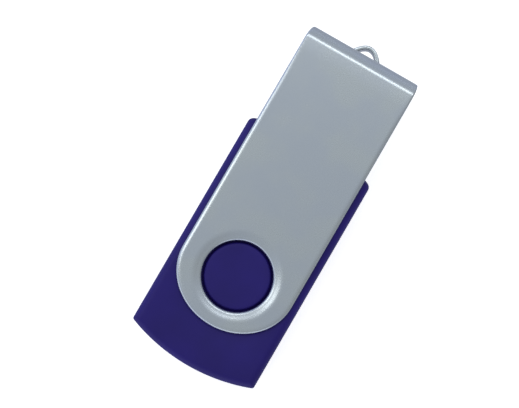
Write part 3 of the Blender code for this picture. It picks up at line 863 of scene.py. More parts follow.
# ---------------------------- the stick

class StickOutline:
    """The stick's outline seen from above, at any inset."""

    # Radii of the corners at both ends, of the bowed rear end, and the least that insets leave.
    FRONT_FILLET = 0.93 * MM
    REAR_FILLET = 0.45 * MM
    REAR_ARC = 27.66 * MM
    LEAST_FILLET = 0.15 * MM

    def __init__(self):
        self.half_width = (STICK_HIGH.y - STICK_LOW.y) / 2.0
        self.rear_x = STICK_LOW.x - PIVOT.x
        self.front_arc = STICK_HIGH.x - PIVOT.x

    def half(self, inset):
        half = self.half_width - inset
        front = self.front_arc - inset
        rear = self.REAR_ARC - inset
        rear_centre = self.rear_x + self.REAR_ARC
        front_fillet = max(self.FRONT_FILLET - inset, self.LEAST_FILLET)
        rear_fillet = max(self.REAR_FILLET - inset, self.LEAST_FILLET)

        front_y = half - front_fillet
        front_x = math.sqrt((front - front_fillet) ** 2 - front_y ** 2)
        front_turn = math.atan2(front_y, front_x)
        rear_y = half - rear_fillet
        reach = math.sqrt((rear - rear_fillet) ** 2 - rear_y ** 2)
        rear_x = rear_centre - reach
        rear_turn = math.pi - math.atan2(rear_y, reach)

        turns = evenly(math.atan2(half, front_x), math.atan2(half, rear_x), 30)[1:-1]
        points = arc(0.0, 0.0, front, 0.0, front_turn, 14)
        points += arc(front_x, front_y, front_fillet, front_turn, math.pi / 2.0, 8)[1:]
        points += [(half / math.tan(turn), half) for turn in turns]
        points += arc(rear_x, rear_y, rear_fillet, math.pi / 2.0, rear_turn, 6)
        points += arc(rear_centre, 0.0, rear, rear_turn, math.pi, 14)[1:]
        return points

    def at(self, inset):
        half = self.half(inset)
        return half + [(x, -y) for x, y in reversed(half[1:-1])]


def quarter_round(radius, steps):
    """Inset and drop at each step of a rounded edge, from the wall to the face."""
    turns = evenly(0.0, math.pi / 2.0, steps)
    return [(radius * (1.0 - math.cos(turn)), radius * (1.0 - math.sin(turn))) for turn in turns]


# Heights above the pivot's level of a shell's face, its groove's floor and its boss's top.
FACE_Z, GROOVE_Z, BOSS_Z = 4.2 * MM, 3.7 * MM, 4.4 * MM

# The boss: its flat top's margin, its edge's rounding, its draft and the room at its foot.
BOSS_MARGIN, BOSS_ROUND, BOSS_DRAFT, FOOT_ROOM = 0.8 * MM, 0.32 * MM, 0.25 * MM, 0.03 * MM

# The groove's small rounding and the room beside it, and the flat band inside the long edges.
SMALL_ROUND, GROOVE_ROOM, EDGE_BAND = 0.08 * MM, 0.05 * MM, 0.25 * MM

# Half the gap between the shells, its chamfer, and the chamfer inside, under the ceiling.
SEAM_Z, SEAM_CHAMFER, CEILING_CHAMFER = 0.05 * MM, (0.06 * MM, 0.12 * MM), 0.2 * MM

# Inset and height of the relief in the upper shell, and of the lip on the lower one.
RELIEF, LIP = (0.65 * MM, 0.9 * MM), (0.75 * MM, -0.8 * MM)


def shell_mesh(side, settings):
    """A half shell, from the boss's top over the outside to the seam and up the inside."""
    outline = StickOutline()
    ring = outline.at(0.0)
    boss, groove = settings.boss_radius, settings.groove_radius
    base = boss + BOSS_DRAFT
    wall, edge = settings.wall, settings.edge_radius

    loops = [(circle_at(ring, boss - BOSS_MARGIN), BOSS_Z)]
    loops += [(circle_at(ring, boss - inset), BOSS_Z - drop)
              for inset, drop in reversed(quarter_round(BOSS_ROUND, 7))]
    loops += [(circle_at(ring, radius), z) for radius, z in (
        (base - FOOT_ROOM, GROOVE_Z + SMALL_ROUND), (base, GROOVE_Z),
        (groove - GROOVE_ROOM, GROOVE_Z), (groove, GROOVE_Z + SMALL_ROUND))]
    loops += [(circle_at(ring, groove + inset), FACE_Z - drop)
              for inset, drop in quarter_round(SMALL_ROUND, 3)]
    loops += [(outline.at(edge + EDGE_BAND), FACE_Z)]
    loops += [(outline.at(inset), FACE_Z - drop)
              for inset, drop in reversed(quarter_round(edge, 10))]
    step, step_z = RELIEF if side > 0 else LIP
    ceiling = FACE_Z - wall
    loops += [(outline.at(inset), z) for inset, z in (
        (0.0, SEAM_Z + SEAM_CHAMFER[1]), (SEAM_CHAMFER[0], SEAM_Z),
        (step, SEAM_Z), (step, step_z), (wall, step_z),
        (wall, ceiling - CEILING_CHAMFER), (wall + CEILING_CHAMFER, ceiling))]
    return loft([flat_loop(points, side * z) for points, z in loops])


# The board's posts: places along the stick, half length, gap to the board, how far they reach
# over its edge, and how far they run into or stop short of each shell's wall.
POST_PLACES = (-8.0 * MM, 2.0 * MM, 12.0 * MM)
POST_HALF, POST_GAP, POST_REACH = 0.4 * MM, 0.1 * MM, 0.5 * MM
POST_WALL = {1.0: -0.3 * MM, -1.0: 0.6 * MM}


def board_posts(side, settings):
    """Posts that hold the board's edges."""
    root = side * (FACE_Z - settings.wall / 2.0)
    tip = board_face(side) + side * POST_GAP
    inner = BOARD_HIGH.y - POST_REACH
    outer = (STICK_HIGH.y - STICK_LOW.y) / 2.0 - settings.wall + POST_WALL[side]
    return [block_mesh((x - POST_HALF, y0, min(root, tip)), (x + POST_HALF, y1, max(root, tip)))
            for x in POST_PLACES for y0, y1 in ((inner, outer), (-outer, -inner))]


class DRIVE_OT_shells(bpy.types.Operator):
    """Builds the two plastic half shells"""
    bl_idname = "drive.shells"
    bl_label = "Build the shells"

    # The plug's opening: where it starts and ends, and its gap round the tube.
    OPENING_X = (18.2 * MM, 24.0 * MM)
    OPENING_GAP = 0.15 * MM

    def execute(self, context):
        settings = context.scene.drive_stick
        plastic = navy_plastic(settings)
        half_y = (PLUG_HIGH.y - PLUG_LOW.y) / 2.0 + self.OPENING_GAP
        half_z = (PLUG_HIGH.z - PLUG_LOW.z) / 2.0 + self.OPENING_GAP
        rear, front = self.OPENING_X
        for name, node, side in (("upper_cover", "upper_shell", 1.0),
                                 ("lower_cover", "lower_shell", -1.0)):
            shell = link_piece(name, shell_mesh(side, settings), plastic, 35.0)
            combine(shell, "UNION", *board_posts(side, settings))
            opening = block_mesh((rear, -half_y, -half_z), (front, half_y, half_z))
            combine(shell, "DIFFERENCE", opening)
            smooth(shell.data, 35.0)
            finished(shell, "stick", "navy_plastic", node)
        return {"FINISHED"}


# ---------------------------- the plug

def rounded_rectangle(half_a, half_b, radius, steps=6):
    points = []
    for quarter, (sign_a, sign_b) in enumerate(((1, 1), (-1, 1), (-1, -1), (1, -1))):
        start = quarter * math.pi / 2.0
        points += arc(sign_a * (half_a - radius), sign_b * (half_b - radius), radius,
                      start, start + math.pi / 2.0, steps)
    return points


def cross_loop(points, x):
    return [Vector((x, y, z)) for y, z in points]


# Insets of the tube's rounded nose, and how far behind the tip each is, in millimetres.
NOSE = ((0.0, 0.4), (0.02, 0.2), (0.06, 0.09), (0.12, 0.03), (0.18, 0.0), (0.25, 0.01))
NOSE_INSIDE = 0.06 * MM


def plug_tube_mesh(settings, rear, tip, half_y, half_z):
    """The tube's wall, with a rounded nose that leads it into a port."""
    def section(inset, x):
        radius = settings.corner - inset
        return cross_loop(rounded_rectangle(half_y - inset, half_z - inset, radius), x)

    loops = [section(0.0, rear)]
    loops += [section(inset * MM, tip - back * MM) for inset, back in NOSE]
    loops += [section(settings.wall, tip - NOSE_INSIDE), section(settings.wall, rear)]
    bm = bmesh.new()
    rings = [[bm.verts.new(point) for point in loop] for loop in loops]
    for low, high in zip(rings, rings[1:] + rings[:1]):
        add_quads(bm, low, high, True)
    bmesh.ops.recalc_face_normals(bm, faces=bm.faces)
    return bm


# The rolled tube's seam in millimetres: a straight slit that steps round one locking tab.
SEAM_LINE = ((0.0, 0.0), (6.0, 0.0), (6.15, 0.8), (8.45, 0.8), (8.6, 0.0))


def seam_outline(rear, tip, half_gap):
    line = [(rear + x * MM, y * MM) for x, y in SEAM_LINE] + [(tip, 0.0)]
    near = [(x, y + half_gap) for x, y in line]
    return near + [(x, y - half_gap) for x, y in reversed(line)]


class DRIVE_OT_plug(bpy.types.Operator):
    """Builds the plug's steel shell with its windows, seam and solder ears"""
    bl_idname = "drive.plug"
    bl_label = "Build the plug shell"

    # Half sizes and corner of a latch window, and its place behind the tip and off the middle.
    WINDOW = (1.25 * MM, 1.0 * MM, 0.2 * MM)
    WINDOW_BACK, WINDOW_SIDE = 6.41 * MM, 3.05 * MM

    # The solder ears: what is left of the tube between two heights over its rear end.
    EAR_LENGTH, EAR_TOP, EAR_BOTTOM = 3.0 * MM, 1.0 * MM, -1.7 * MM

    # The seam's half width and depth, how far cutters reach, and the rounding of cut edges.
    SEAM_HALF, SEAM_DEPTH, FAR, EDGE = 0.03 * MM, 0.12 * MM, 8.0 * MM, 0.03 * MM

    def execute(self, context):
        settings = context.scene.drive_plug
        low, high = local_box("plug_shell")
        far, ears = self.FAR, low.x + self.EAR_LENGTH
        tube = link_piece("plug_tube", plug_tube_mesh(settings, low.x, high.x, high.y, high.z),
                          nickel_plate(settings))
        windows = [shifted(rounded_rectangle(*self.WINDOW), high.x - self.WINDOW_BACK,
                           side * self.WINDOW_SIDE) for side in (1.0, -1.0)]
        combine(tube, "DIFFERENCE",
                block_mesh((low.x - MM, -far, self.EAR_TOP), (ears, far, far)),
                block_mesh((low.x - MM, -far, -far), (ears, far, self.EAR_BOTTOM)),
                prism(seam_outline(ears - MM, high.x + MM, self.SEAM_HALF),
                      low.z - MM, low.z + self.SEAM_DEPTH),
                *(prism(window, -far, far) for window in windows))
        soften(tube, self.EDGE)
        finished(tube, "stick", "plug_steel", "plug_shell")
        return {"FINISHED"}


CONTACTS = ("contact_power", "contact_data_minus", "contact_data_plus", "contact_ground")


# A contact's tip: distance behind its end, part of the blade's width, and dip (millimetres).
CONTACT_TIP = ((0.8, 1.0, 0.0), (0.45, 1.0, 0.02), (0.2, 0.86, 0.07), (0.05, 0.6, 0.12),
               (0.0, 0.42, 0.16))
TAIL_STEP, TAIL_TAPER, CONTACT_CORNER = 0.15 * MM, 0.05 * MM, 0.07 * MM


def contact_mesh(node, block_front):
    """A stamped contact: a narrow tail, a wide blade and a tip that dips into the tongue."""
    low, high = local_box(node)
    blade = (high.y - low.y) / 2.0
    tail = blade - TAIL_STEP
    stations = [(low.x, tail - TAIL_TAPER, 0.05), (low.x + 0.06 * MM, tail, 0.0),
                (block_front - 0.05 * MM, tail, 0.0), (block_front + 0.2 * MM, blade, 0.0)]
    stations += [(high.x - back * MM, blade * part, dip) for back, part, dip in CONTACT_TIP]
    loops = []
    for x, half, dip in stations:
        half_z = (high.z - dip * MM - low.z) / 2.0
        section = rounded_rectangle(half, half_z, min(CONTACT_CORNER, half_z * 0.9), 3)
        loops.append(cross_loop(shifted(section, (low.y + high.y) / 2.0, low.z + half_z), x))
    return loft(loops)


class DRIVE_OT_tongue(bpy.types.Operator):
    """Builds the moulded tongue and its four contacts"""
    bl_idname = "drive.tongue"
    bl_label = "Build the tongue and contacts"

    # The moulded block at the rear, the bevel at the tip, and the room round each contact.
    BLOCK_LENGTH, BLOCK_STEP, LEAD, ROOM = 3.7 * MM, 0.2 * MM, 0.3 * MM, 0.06 * MM

    # The two pockets in the lower face: depth, place, half width and distance from the ends.
    POCKET_DEPTH, POCKET_Y, POCKET_HALF, POCKET_END = 0.35 * MM, 2.25 * MM, 0.7 * MM, 3.0 * MM
    EDGE = 0.05 * MM

    def execute(self, context):
        settings = context.scene.drive_plug
        gold = gold_plate(settings)
        low, high = local_box("contact_carrier")
        front, lead, step, room = low.x + self.BLOCK_LENGTH, self.LEAD, self.BLOCK_STEP, self.ROOM
        side = [(low.x, low.z), (high.x, low.z), (high.x, -lead), (high.x - lead, 0.0),
                (front, 0.0), (front, high.z - step), (front - step, high.z),
                (low.x + step, high.z), (low.x + step, 0.0), (low.x, 0.0)]
        tongue = link_piece("tongue", loft([[Vector((x, y, z)) for x, z in side]
                                            for y in (-high.y, high.y)]), black_nylon(settings))
        cutters = []
        for node in CONTACTS:
            c_low, c_high = local_box(node)
            cutters.append(block_mesh((low.x - MM, c_low.y - room, c_low.z - room),
                                      (c_high.x + room, c_high.y + room, c_high.z + room)))
        for y in (-self.POCKET_Y, self.POCKET_Y):
            cutters.append(block_mesh(
                (front + self.POCKET_END, y - self.POCKET_HALF, low.z - MM),
                (high.x - self.POCKET_END, y + self.POCKET_HALF, low.z + self.POCKET_DEPTH)))
        combine(tongue, "DIFFERENCE", *cutters)
        soften(tongue, self.EDGE)
        finished(tongue, "stick", "black_nylon", "contact_carrier")
        for node in CONTACTS:
            blade = link_piece(node + "_blade", contact_mesh(node, front), gold)
            finished(blade, "stick", "gold_plate", node)
        return {"FINISHED"}


# ---------------------------- the board and its parts

# How many legs are in each of a chip's rows, and along which axes the rows' legs point.
CHIP_ROWS = {"memory_chip": (24, "x"), "controller_chip": (12, "xy")}
CAPACITORS = tuple(f"capacitor_{number}" for number in range(1, 6))
RESISTORS = tuple(f"resistor_{number}" for number in range(1, 6))


def point_mesh(name, places, **attributes):
    """Loose points with vector attributes, for a Geometry Nodes tree to put pieces on."""
    mesh = bpy.data.meshes.new(name)
    mesh.from_pydata([tuple(place) for place in places], [], [])
    for label, values in attributes.items():
        layer = mesh.attributes.new(label, "FLOAT_VECTOR", "POINT")
        layer.data.foreach_set("vector", [number for value in values for number in value])
    return mesh


# The regulator's two outer legs stand this far from its middle. All legs are this thick, and
# stand this far off the board.
REGULATOR_LEG, LEG_THICKNESS, LEG_LIFT = 0.95 * MM, 0.11 * MM, 0.03 * MM


def leg_places(node, settings):
    """Where a chip's legs leave its package, and the half turns each points at."""
    low, high = local_box(node)
    centre = (low + high) / 2.0
    if node == "voltage_regulator":
        return [((centre.x - REGULATOR_LEG, low.y), -0.5),
                ((centre.x + REGULATOR_LEG, low.y), -0.5), ((centre.x, high.y), 0.5)]
    count, axes = CHIP_ROWS[node]
    places = []
    for i in range(count):
        step = (i - (count - 1) / 2.0) * settings.pin_pitch
        if "x" in axes:
            places += [((high.x, centre.y + step), 0.0), ((low.x, centre.y + step), 1.0)]
        if "y" in axes:
            places += [((centre.x + step, high.y), 0.5), ((centre.x + step, low.y), -0.5)]
    return places


def chip_legs(node, settings, width, reach, finish):
    """Gull-wing legs: one bent strip, put at each place round the chip."""
    side = board_side(node)
    low, high = local_box(node)
    face = board_face(side)
    places, turns = [], []
    for (x, y), half_turns in leg_places(node, settings):
        places.append((x, y, face + side * LEG_LIFT))
        turns.append((0.0 if side > 0 else math.pi, 0.0, half_turns * math.pi))
    base = point_mesh(node + "_legs", places, turn=turns)

    pattern = Pattern("legs_of_" + node)
    out = pattern.size("Reach", reach)
    rise = pattern.size("Rise", abs((low.z + high.z) / 2.0 - face) - LEG_LIFT)
    across = pattern.size("Width", width)
    thick = pattern.size("Thickness", LEG_THICKNESS)
    half = pattern.times(thick, 0.5)
    handles = {}
    for label, along, up in (("Start", -0.12, rise), ("Start Handle", 0.62, rise),
                             ("End Handle", 0.1, half), ("End", 1.0, half)):
        handles[label] = pattern.out("ShaderNodeCombineXYZ", None,
                                     {"X": pattern.times(out, along), "Z": up})
    path = pattern.geo("CurvePrimitiveBezierSegment", {"Resolution": 8, **handles})
    turn = pattern.out("FunctionNodeEulerToRotation", None,
                       {"Euler": pattern.attribute("turn")})
    legs = pattern.copies(pattern.sweep(path, thick, across), pattern.base, Rotation=turn)
    pattern.grow(node + "_legs", base, legs, finish, "plug_steel")
    return places, turns


def blocks(name, places, extents, roundness, finish):
    """Small blocks, each with its own size, put at points; roundness softens their edges."""
    base = point_mesh(name, places, extent=extents)
    pattern = Pattern(name)
    unit = pattern.size("Unit", 1.0)
    cube = pattern.out("ShaderNodeCombineXYZ", None, {"X": unit, "Y": unit, "Z": unit})
    box = pattern.geo("MeshCube", {"Size": cube})
    if roundness > 0.0:
        crease = pattern.size("Crease", 1.0 - roundness)
        box = pattern.geo("SubdivisionSurface", {"Mesh": box, "Level": 3, "Edge Crease": crease})
    many = pattern.copies(box, pattern.base, Scale=pattern.attribute("extent"))
    pattern.grow(name, base, many, finish, "plug_steel")


# A package's inset, in parts of its height up to a millimetre, and share of the height.
PACKAGE = ((0.16, 0.0), (0.12, 0.03), (0.03, 0.46), (0.0, 0.47), (0.0, 0.53), (0.03, 0.54),
           (0.13, 0.95), (0.18, 1.0))


def package_mesh(node):
    """A moulded package: drafted above and below its parting line, with softened top edges."""
    low, high = local_box(node)
    height = high.z - low.z
    foot, side = (low.z, 1.0) if board_side(node) > 0 else (high.z, -1.0)
    loops = []
    for inset, part in PACKAGE:
        inset *= min(height, MM)
        outline = [(low.x + inset, low.y + inset), (high.x - inset, low.y + inset),
                   (high.x - inset, high.y - inset), (low.x + inset, high.y - inset)]
        loops.append(flat_loop(outline, foot + side * part * height))
    return loft(loops)


class DRIVE_OT_board(bpy.types.Operator):
    """Builds the circuit board with its traces and vias"""
    bl_idname = "drive.board"
    bl_label = "Build the board"

    CORNER = 1.2 * MM
    NOTCH = (2.4 * MM, 5.45 * MM, 6.25 * MM)
    EDGE = 0.04 * MM

    # Heights of the copper over the board, and the thickness and corner radius of the traces.
    TRACE_LIFT, VIA_LIFT = 0.012 * MM, 0.01 * MM
    TRACE_HEIGHT, TRACE_FILLET = 0.03 * MM, 0.3 * MM

    # The fan of traces from the contacts: its start and length, its lines' places, how far they
    # close in, and how long the closing takes, less a part of each line's place.
    FAN_START, FAN_LENGTH = 3.2 * MM, 3.6 * MM
    FAN_PLACES = (-3.5 * MM, -1.0 * MM, 1.0 * MM, 3.5 * MM)
    FAN_CLOSING, FAN_BEND, FAN_BEND_LOSS = 0.55, 2.2 * MM, 0.3

    # The traces along the edges: how many, the first one's place, their pitch, where they start
    # and end, and the short step outwards at their start.
    EDGE_TRACES, EDGE_Y, EDGE_PITCH = 6, 6.5 * MM, 0.3 * MM
    EDGE_START, EDGE_END, STEP_SHARE, STEP_LENGTH = 9.0 * MM, -7.0 * MM, 0.92, 0.8 * MM

    # The free strips where vias are scattered, and a via's spacing, radius and rim.
    STRIP_X = (-9.0 * MM, 5.0 * MM)
    STRIP_Y = ((6.4 * MM, 7.6 * MM), (-7.6 * MM, -6.4 * MM))
    VIA_GAP, VIA_RADIUS, VIA_RIM, VIA_DENSITY = 0.9 * MM, 0.2 * MM, 0.06 * MM, 1.0e6

    def outline(self, low, high):
        depth, near, far = self.NOTCH
        rear = [(high.x, high.y), (low.x + self.CORNER, high.y), (low.x, high.y - self.CORNER)]
        notch = [(high.x, near), (high.x - depth, near), (high.x - depth, far), (high.x, far)]
        top = notch + rear
        return top + [(x, -y) for x, y in reversed(top)]

    def trace_lines(self, side):
        """Polylines fanning from the contacts towards the controller, and along both edges."""
        front = BOARD_HIGH.x - PIVOT.x - self.FAN_START
        lines = []
        for y in self.FAN_PLACES:
            bend, end = self.FAN_BEND - abs(y) * self.FAN_BEND_LOSS, y * self.FAN_CLOSING
            lines.append([(front, y), (front - MM, y), (front - MM - bend, end),
                          (front - self.FAN_LENGTH, end)])
        for number in range(self.EDGE_TRACES):
            y = (self.EDGE_Y + self.EDGE_PITCH * number) * (1.0 if number % 2 else -1.0)
            start = self.EDGE_START - number * MM
            lines.append([(start, y * self.STEP_SHARE), (start - self.STEP_LENGTH, y),
                          (self.EDGE_END + number * MM, y)])
        z = board_face(side) + side * self.TRACE_LIFT
        return [[(x, y, z) for x, y in line] for line in lines]

    def add_traces(self, settings, finish):
        corners, edges = [], []
        for side in (1.0, -1.0):
            for line in self.trace_lines(side):
                edges += [(len(corners) + i, len(corners) + i + 1) for i in range(len(line) - 1)]
                corners += line
        base = bpy.data.meshes.new("traces")
        base.from_pydata(corners, edges, [])
        pattern = Pattern("traces")
        width = pattern.size("Width", settings.trace_width)
        height = pattern.size("Height", self.TRACE_HEIGHT)
        radius = pattern.size("Fillet", self.TRACE_FILLET)
        path = pattern.geo("MeshToCurve", {"Mesh": pattern.base})
        path = pattern.geo("FilletCurve", {"Curve": path, "Radius": radius})
        pattern.grow("traces", base, pattern.sweep(path, width, height), finish,
                     "green_laminate")

    def add_vias(self, settings, finish):
        """Plated holes scattered along the board's two free strips."""
        bm = bmesh.new()
        x0, x1 = self.STRIP_X
        for side in (1.0, -1.0):
            z = board_face(side) + side * self.VIA_LIFT
            for y0, y1 in self.STRIP_Y:
                bm.faces.new([bm.verts.new((x, y, z))
                              for x, y in ((x0, y0), (x1, y0), (x1, y1), (x0, y1))])
        base = bpy.data.meshes.new("vias")
        bm.to_mesh(base)
        bm.free()
        pattern = Pattern("vias")
        gap = pattern.size("Gap", self.VIA_GAP)
        ring = pattern.size("Ring", self.VIA_RADIUS)
        wire = pattern.size("Wire", self.VIA_RIM)
        seed = pattern.size("Seed", settings.via_seed, "Int")
        spots = pattern.geo("DistributePointsOnFaces",
                            {"Mesh": pattern.base, "Distance Min": gap,
                             "Density Max": self.VIA_DENSITY, "Seed": seed},
                            {"distribute_method": "POISSON"})
        loop = pattern.geo("CurvePrimitiveCircle", {"Resolution": 12, "Radius": ring})
        section = pattern.geo("CurvePrimitiveCircle", {"Resolution": 6, "Radius": wire})
        eyelet = pattern.geo("CurveToMesh", {"Curve": loop, "Profile Curve": section})
        pattern.grow("vias", base, pattern.copies(eyelet, spots), finish, "gold_plate")

    def execute(self, context):
        settings = context.scene.drive_board
        low, high = local_box("circuit_board")
        laminate = green_laminate(settings)
        board = link_piece("board_laminate", prism(self.outline(low, high), low.z, high.z),
                           laminate)
        soften(board, self.EDGE)
        finished(board, "stick", "green_laminate", "circuit_board")
        self.add_traces(settings, laminate)
        self.add_vias(settings, gold_plate(context.scene.drive_plug))
        return {"FINISHED"}


class DRIVE_OT_chips(bpy.types.Operator):
    """Builds the memory, controller and regulator chips with their legs and pads"""
    bl_idname = "drive.chips"
    bl_label = "Build the chips"

    # Width of each chip's legs, or None for the pin width of the settings, and their reach.
    LEGS = {"memory_chip": (None, 0.75 * MM), "controller_chip": (None, 0.75 * MM),
            "voltage_regulator": (0.4 * MM, 0.55 * MM)}

    # The dent that marks the first leg: radius and place in parts of the package, and depth.
    DENT_SHARE, DENT_PLACE, DENT_DEPTH = 0.06, 2.6, 0.06 * MM
    EDGE = 0.025 * MM

    # A pad's place and length in parts of the leg's reach, its width in legs, and its height.
    PAD_PLACE, PAD_LENGTH, PAD_WIDTH, PAD_HEIGHT = 0.75, 0.7, 1.25, 0.03 * MM

    def add_dent(self, package, node):
        low, high = local_box(node)
        side = board_side(node)
        top = high.z if side > 0 else low.z
        dent = self.DENT_SHARE * min(high.x - low.x, high.y - low.y)
        mark = shifted(arc(0.0, 0.0, dent, 0.0, 2.0 * math.pi, 24)[:-1],
                       low.x + self.DENT_PLACE * dent, low.y + self.DENT_PLACE * dent)
        combine(package, "DIFFERENCE",
                prism(mark, top - side * self.DENT_DEPTH, top + side * MM))

    def execute(self, context):
        settings = context.scene.drive_board
        moulding, tin = chip_moulding(), tin_plate()
        pads, extents = [], []
        for node, (width, reach) in self.LEGS.items():
            width = width or settings.pin_width
            package = link_piece(node + "_package", package_mesh(node), moulding, 25.0)
            self.add_dent(package, node)
            soften(package, self.EDGE)
            finished(package, "stick", "chip_moulding", node)
            side = board_side(node)
            out, long, wide = (reach * self.PAD_PLACE, reach * self.PAD_LENGTH,
                               width * self.PAD_WIDTH)
            places, turns = chip_legs(node, settings, width, reach, tin)
            for place, turn in zip(places, turns):
                along, across = math.cos(turn[2]), math.sin(turn[2])
                pads.append((place[0] + out * along, place[1] + out * across,
                             board_face(side) + side * self.PAD_HEIGHT / 2.0))
                size = (wide, long) if abs(across) > 0.5 else (long, wide)
                extents.append((*size, self.PAD_HEIGHT))
        blocks("chip_pads", pads, extents, 0.0, tin)
        return {"FINISHED"}


def add_fillet(bm, corner, outward, half_width, height, run, side):
    """A concave wedge of solder at the foot of a wall whose outward direction is given."""
    steps = evenly(0.0, math.pi / 2.0, 5)
    section = [(0.0, 0.0), (0.0, height)]
    section += [(run * (1.0 - math.cos(t)), height * (1.0 - math.sin(t))) for t in steps[1:]]
    across = Vector((-outward.y, outward.x, 0.0))
    up = Vector((0.0, 0.0, side))
    ends = []
    for shift in (-half_width, half_width):
        ends.append([bm.verts.new(corner + across * shift + outward * a + up * b)
                     for a, b in section])
    add_quads(bm, ends[0], ends[1], True)
    bm.faces.new(ends[0])
    bm.faces.new(ends[1])


class DRIVE_OT_passives(bpy.types.Operator):
    """Builds the capacitors and resistors with their end caps, pads and solder"""
    bl_idname = "drive.passives"
    bl_label = "Build the small parts"

    # In parts of the part's length: a cap, a pad and its place, and the solder's run.
    CAP, PAD, PAD_PLACE, RUN = 0.22, 0.5, 0.52, 0.2

    # How far the body stays inside its caps, its rounded edges, and the caps' roundness.
    BODY_INSET = (0.15, 0.03 * MM)
    BODY_ROUND, CAP_ROUNDNESS = 0.04 * MM, 0.12
    PAD_HEIGHT, PAD_OVER = 0.04 * MM, 1.1

    # The solder's overlap with the cap, its lift, and its half width and height in caps.
    OVERLAP, LIFT, SOLDER_HALF, SOLDER_RISE = 0.02 * MM, 0.03 * MM, 0.46, 0.7

    # The solder on a contact's tail: overlap, half width, height and run.
    TAIL_OVERLAP, TAIL_SOLDER = 0.05 * MM, (0.4 * MM, 0.22 * MM, 0.3 * MM)

    def body_mesh(self, low, high):
        along, around = self.BODY_INSET
        inside = Vector((along * (high.x - low.x), around, around))
        bm = block_mesh(low + inside, high - inside)
        bmesh.ops.bevel(bm, geom=bm.edges[:], offset=self.BODY_ROUND, segments=2, profile=0.5,
                        affect="EDGES", clamp_overlap=True)
        bmesh.ops.recalc_face_normals(bm, faces=bm.faces)
        return bm

    def execute(self, context):
        tin = tin_plate()
        kinds = (("capacitor_ceramic", capacitor_ceramic(), CAPACITORS),
                 ("resistor_film", resistor_film(), RESISTORS))
        caps, cap_sizes, pads, pad_sizes = [], [], [], []
        solder = bmesh.new()
        for slot, finish, nodes in kinds:
            for node in nodes:
                low, high = local_box(node)
                side = board_side(node)
                centre, size = (low + high) / 2.0, high - low
                body = link_piece(node + "_body", self.body_mesh(low, high), finish)
                finished(body, "stick", slot, node)
                cap = self.CAP * size.x
                face = board_face(side)
                for way in (-1.0, 1.0):
                    caps.append((centre.x + way * (size.x - cap) / 2.0, centre.y, centre.z))
                    cap_sizes.append((cap, size.y, size.z))
                    pads.append((centre.x + way * size.x * self.PAD_PLACE, centre.y,
                                 face + side * self.PAD_HEIGHT / 2.0))
                    pad_sizes.append((size.x * self.PAD, size.y * self.PAD_OVER,
                                      self.PAD_HEIGHT))
                    foot = Vector((centre.x + way * (size.x / 2.0 - self.OVERLAP), centre.y,
                                   face + side * self.LIFT))
                    add_fillet(solder, foot, Vector((way, 0.0, 0.0)), size.y * self.SOLDER_HALF,
                               size.z * self.SOLDER_RISE, size.x * self.RUN, side)
        for node in CONTACTS:
            low, high = local_box(node)
            foot = Vector((low.x + self.TAIL_OVERLAP, (low.y + high.y) / 2.0, board_face(1.0)))
            add_fillet(solder, foot, Vector((-1.0, 0.0, 0.0)), *self.TAIL_SOLDER, 1.0)
        blocks("end_caps", caps, cap_sizes, self.CAP_ROUNDNESS, tin)
        blocks("part_pads", pads, pad_sizes, 0.0, tin)
        bmesh.ops.recalc_face_normals(solder, faces=solder.faces)
        finished(link_piece("solder_joints", solder, tin, 60.0), "stick", "plug_steel")
        return {"FINISHED"}


class DRIVE_OT_crystal(bpy.types.Operator):
    """Builds the clock crystal's can and the activity light"""
    bl_idname = "drive.crystal"
    bl_label = "Build the crystal and the light"

    # Inset and depth below the top of the can's side, in millimetres, and its corners.
    CAN = ((0.0, 0.0), (0.0, 0.2), (0.02, 0.235), (0.05, 0.25), (0.22, 0.25), (0.25, 0.3),
           (0.27, 0.4), (0.27, 0.85), (0.29, 0.98), (0.35, 1.07), (0.45, 1.13), (0.58, 1.15))
    CAN_CORNER, LEAST_CORNER = 0.8 * MM, 0.3 * MM

    # The light's body: inset along and across, and height, in millimetres; then its dome.
    BODY = ((0.03, 0.03, 0.0), (0.0, 0.0, 0.03), (0.0, 0.0, 0.27), (0.03, 0.03, 0.3),
            (0.05, 0.3, 0.3))
    DOME_DRAFT, DOME_RISE = 0.17, 0.3
    LIGHT_CORNER = 0.08 * MM

    def stacked(self, node, layers):
        """Rounded rectangles about a node's middle, skinned: half sizes, corner and height."""
        low, high = local_box(node)
        centre = (low + high) / 2.0
        return loft([flat_loop(shifted(rounded_rectangle(*layer), centre.x, centre.y), z)
                     for layer, z in layers])

    def can_mesh(self):
        low, high = local_box("clock_crystal")
        half = (high - low) / 2.0
        return self.stacked("clock_crystal", [
            ((half.x - inset * MM, half.y - inset * MM,
              max(self.LEAST_CORNER, self.CAN_CORNER - inset * MM), 8), high.z - drop * MM)
            for inset, drop in self.CAN])

    def light_mesh(self):
        low, high = local_box("activity_led")
        half = (high - low) / 2.0
        x, y, z = self.BODY[-1]
        dome = []
        for turn in evenly(0.0, math.pi / 2.0, 6)[1:]:
            draft = self.DOME_DRAFT * (1.0 - math.cos(turn))
            dome.append((x + draft, y + draft, z + self.DOME_RISE * math.sin(turn)))
        return self.stacked("activity_led", [
            ((half.x - x * MM, half.y - y * MM, self.LIGHT_CORNER, 3), low.z + z * MM)
            for x, y, z in (*self.BODY, *dome)])

    def execute(self, context):
        can = link_piece("crystal_can", self.can_mesh(), crystal_can())
        finished(can, "stick", "crystal_can", "clock_crystal")
        light = link_piece("activity_light", self.light_mesh(), led_lens())
        finished(light, "stick", "led_lens", "activity_led")
        return {"FINISHED"}


# ---------------------------- the stage

# Each light's place and aim in millimetres from the pivot, its size in metres, power and colour.
LIGHTS = (("key_softbox", (20.0, 215.0, 370.0), (0.0, 0.0, 0.0), (0.11, 0.16), 0.15,
           (1.0, 0.98, 0.9)),
          ("end_strip", (215.0, 45.0, 400.0), (20.0, 0.0, 0.0), (0.30, 0.07), 0.22,
           (1.0, 1.0, 1.0)))

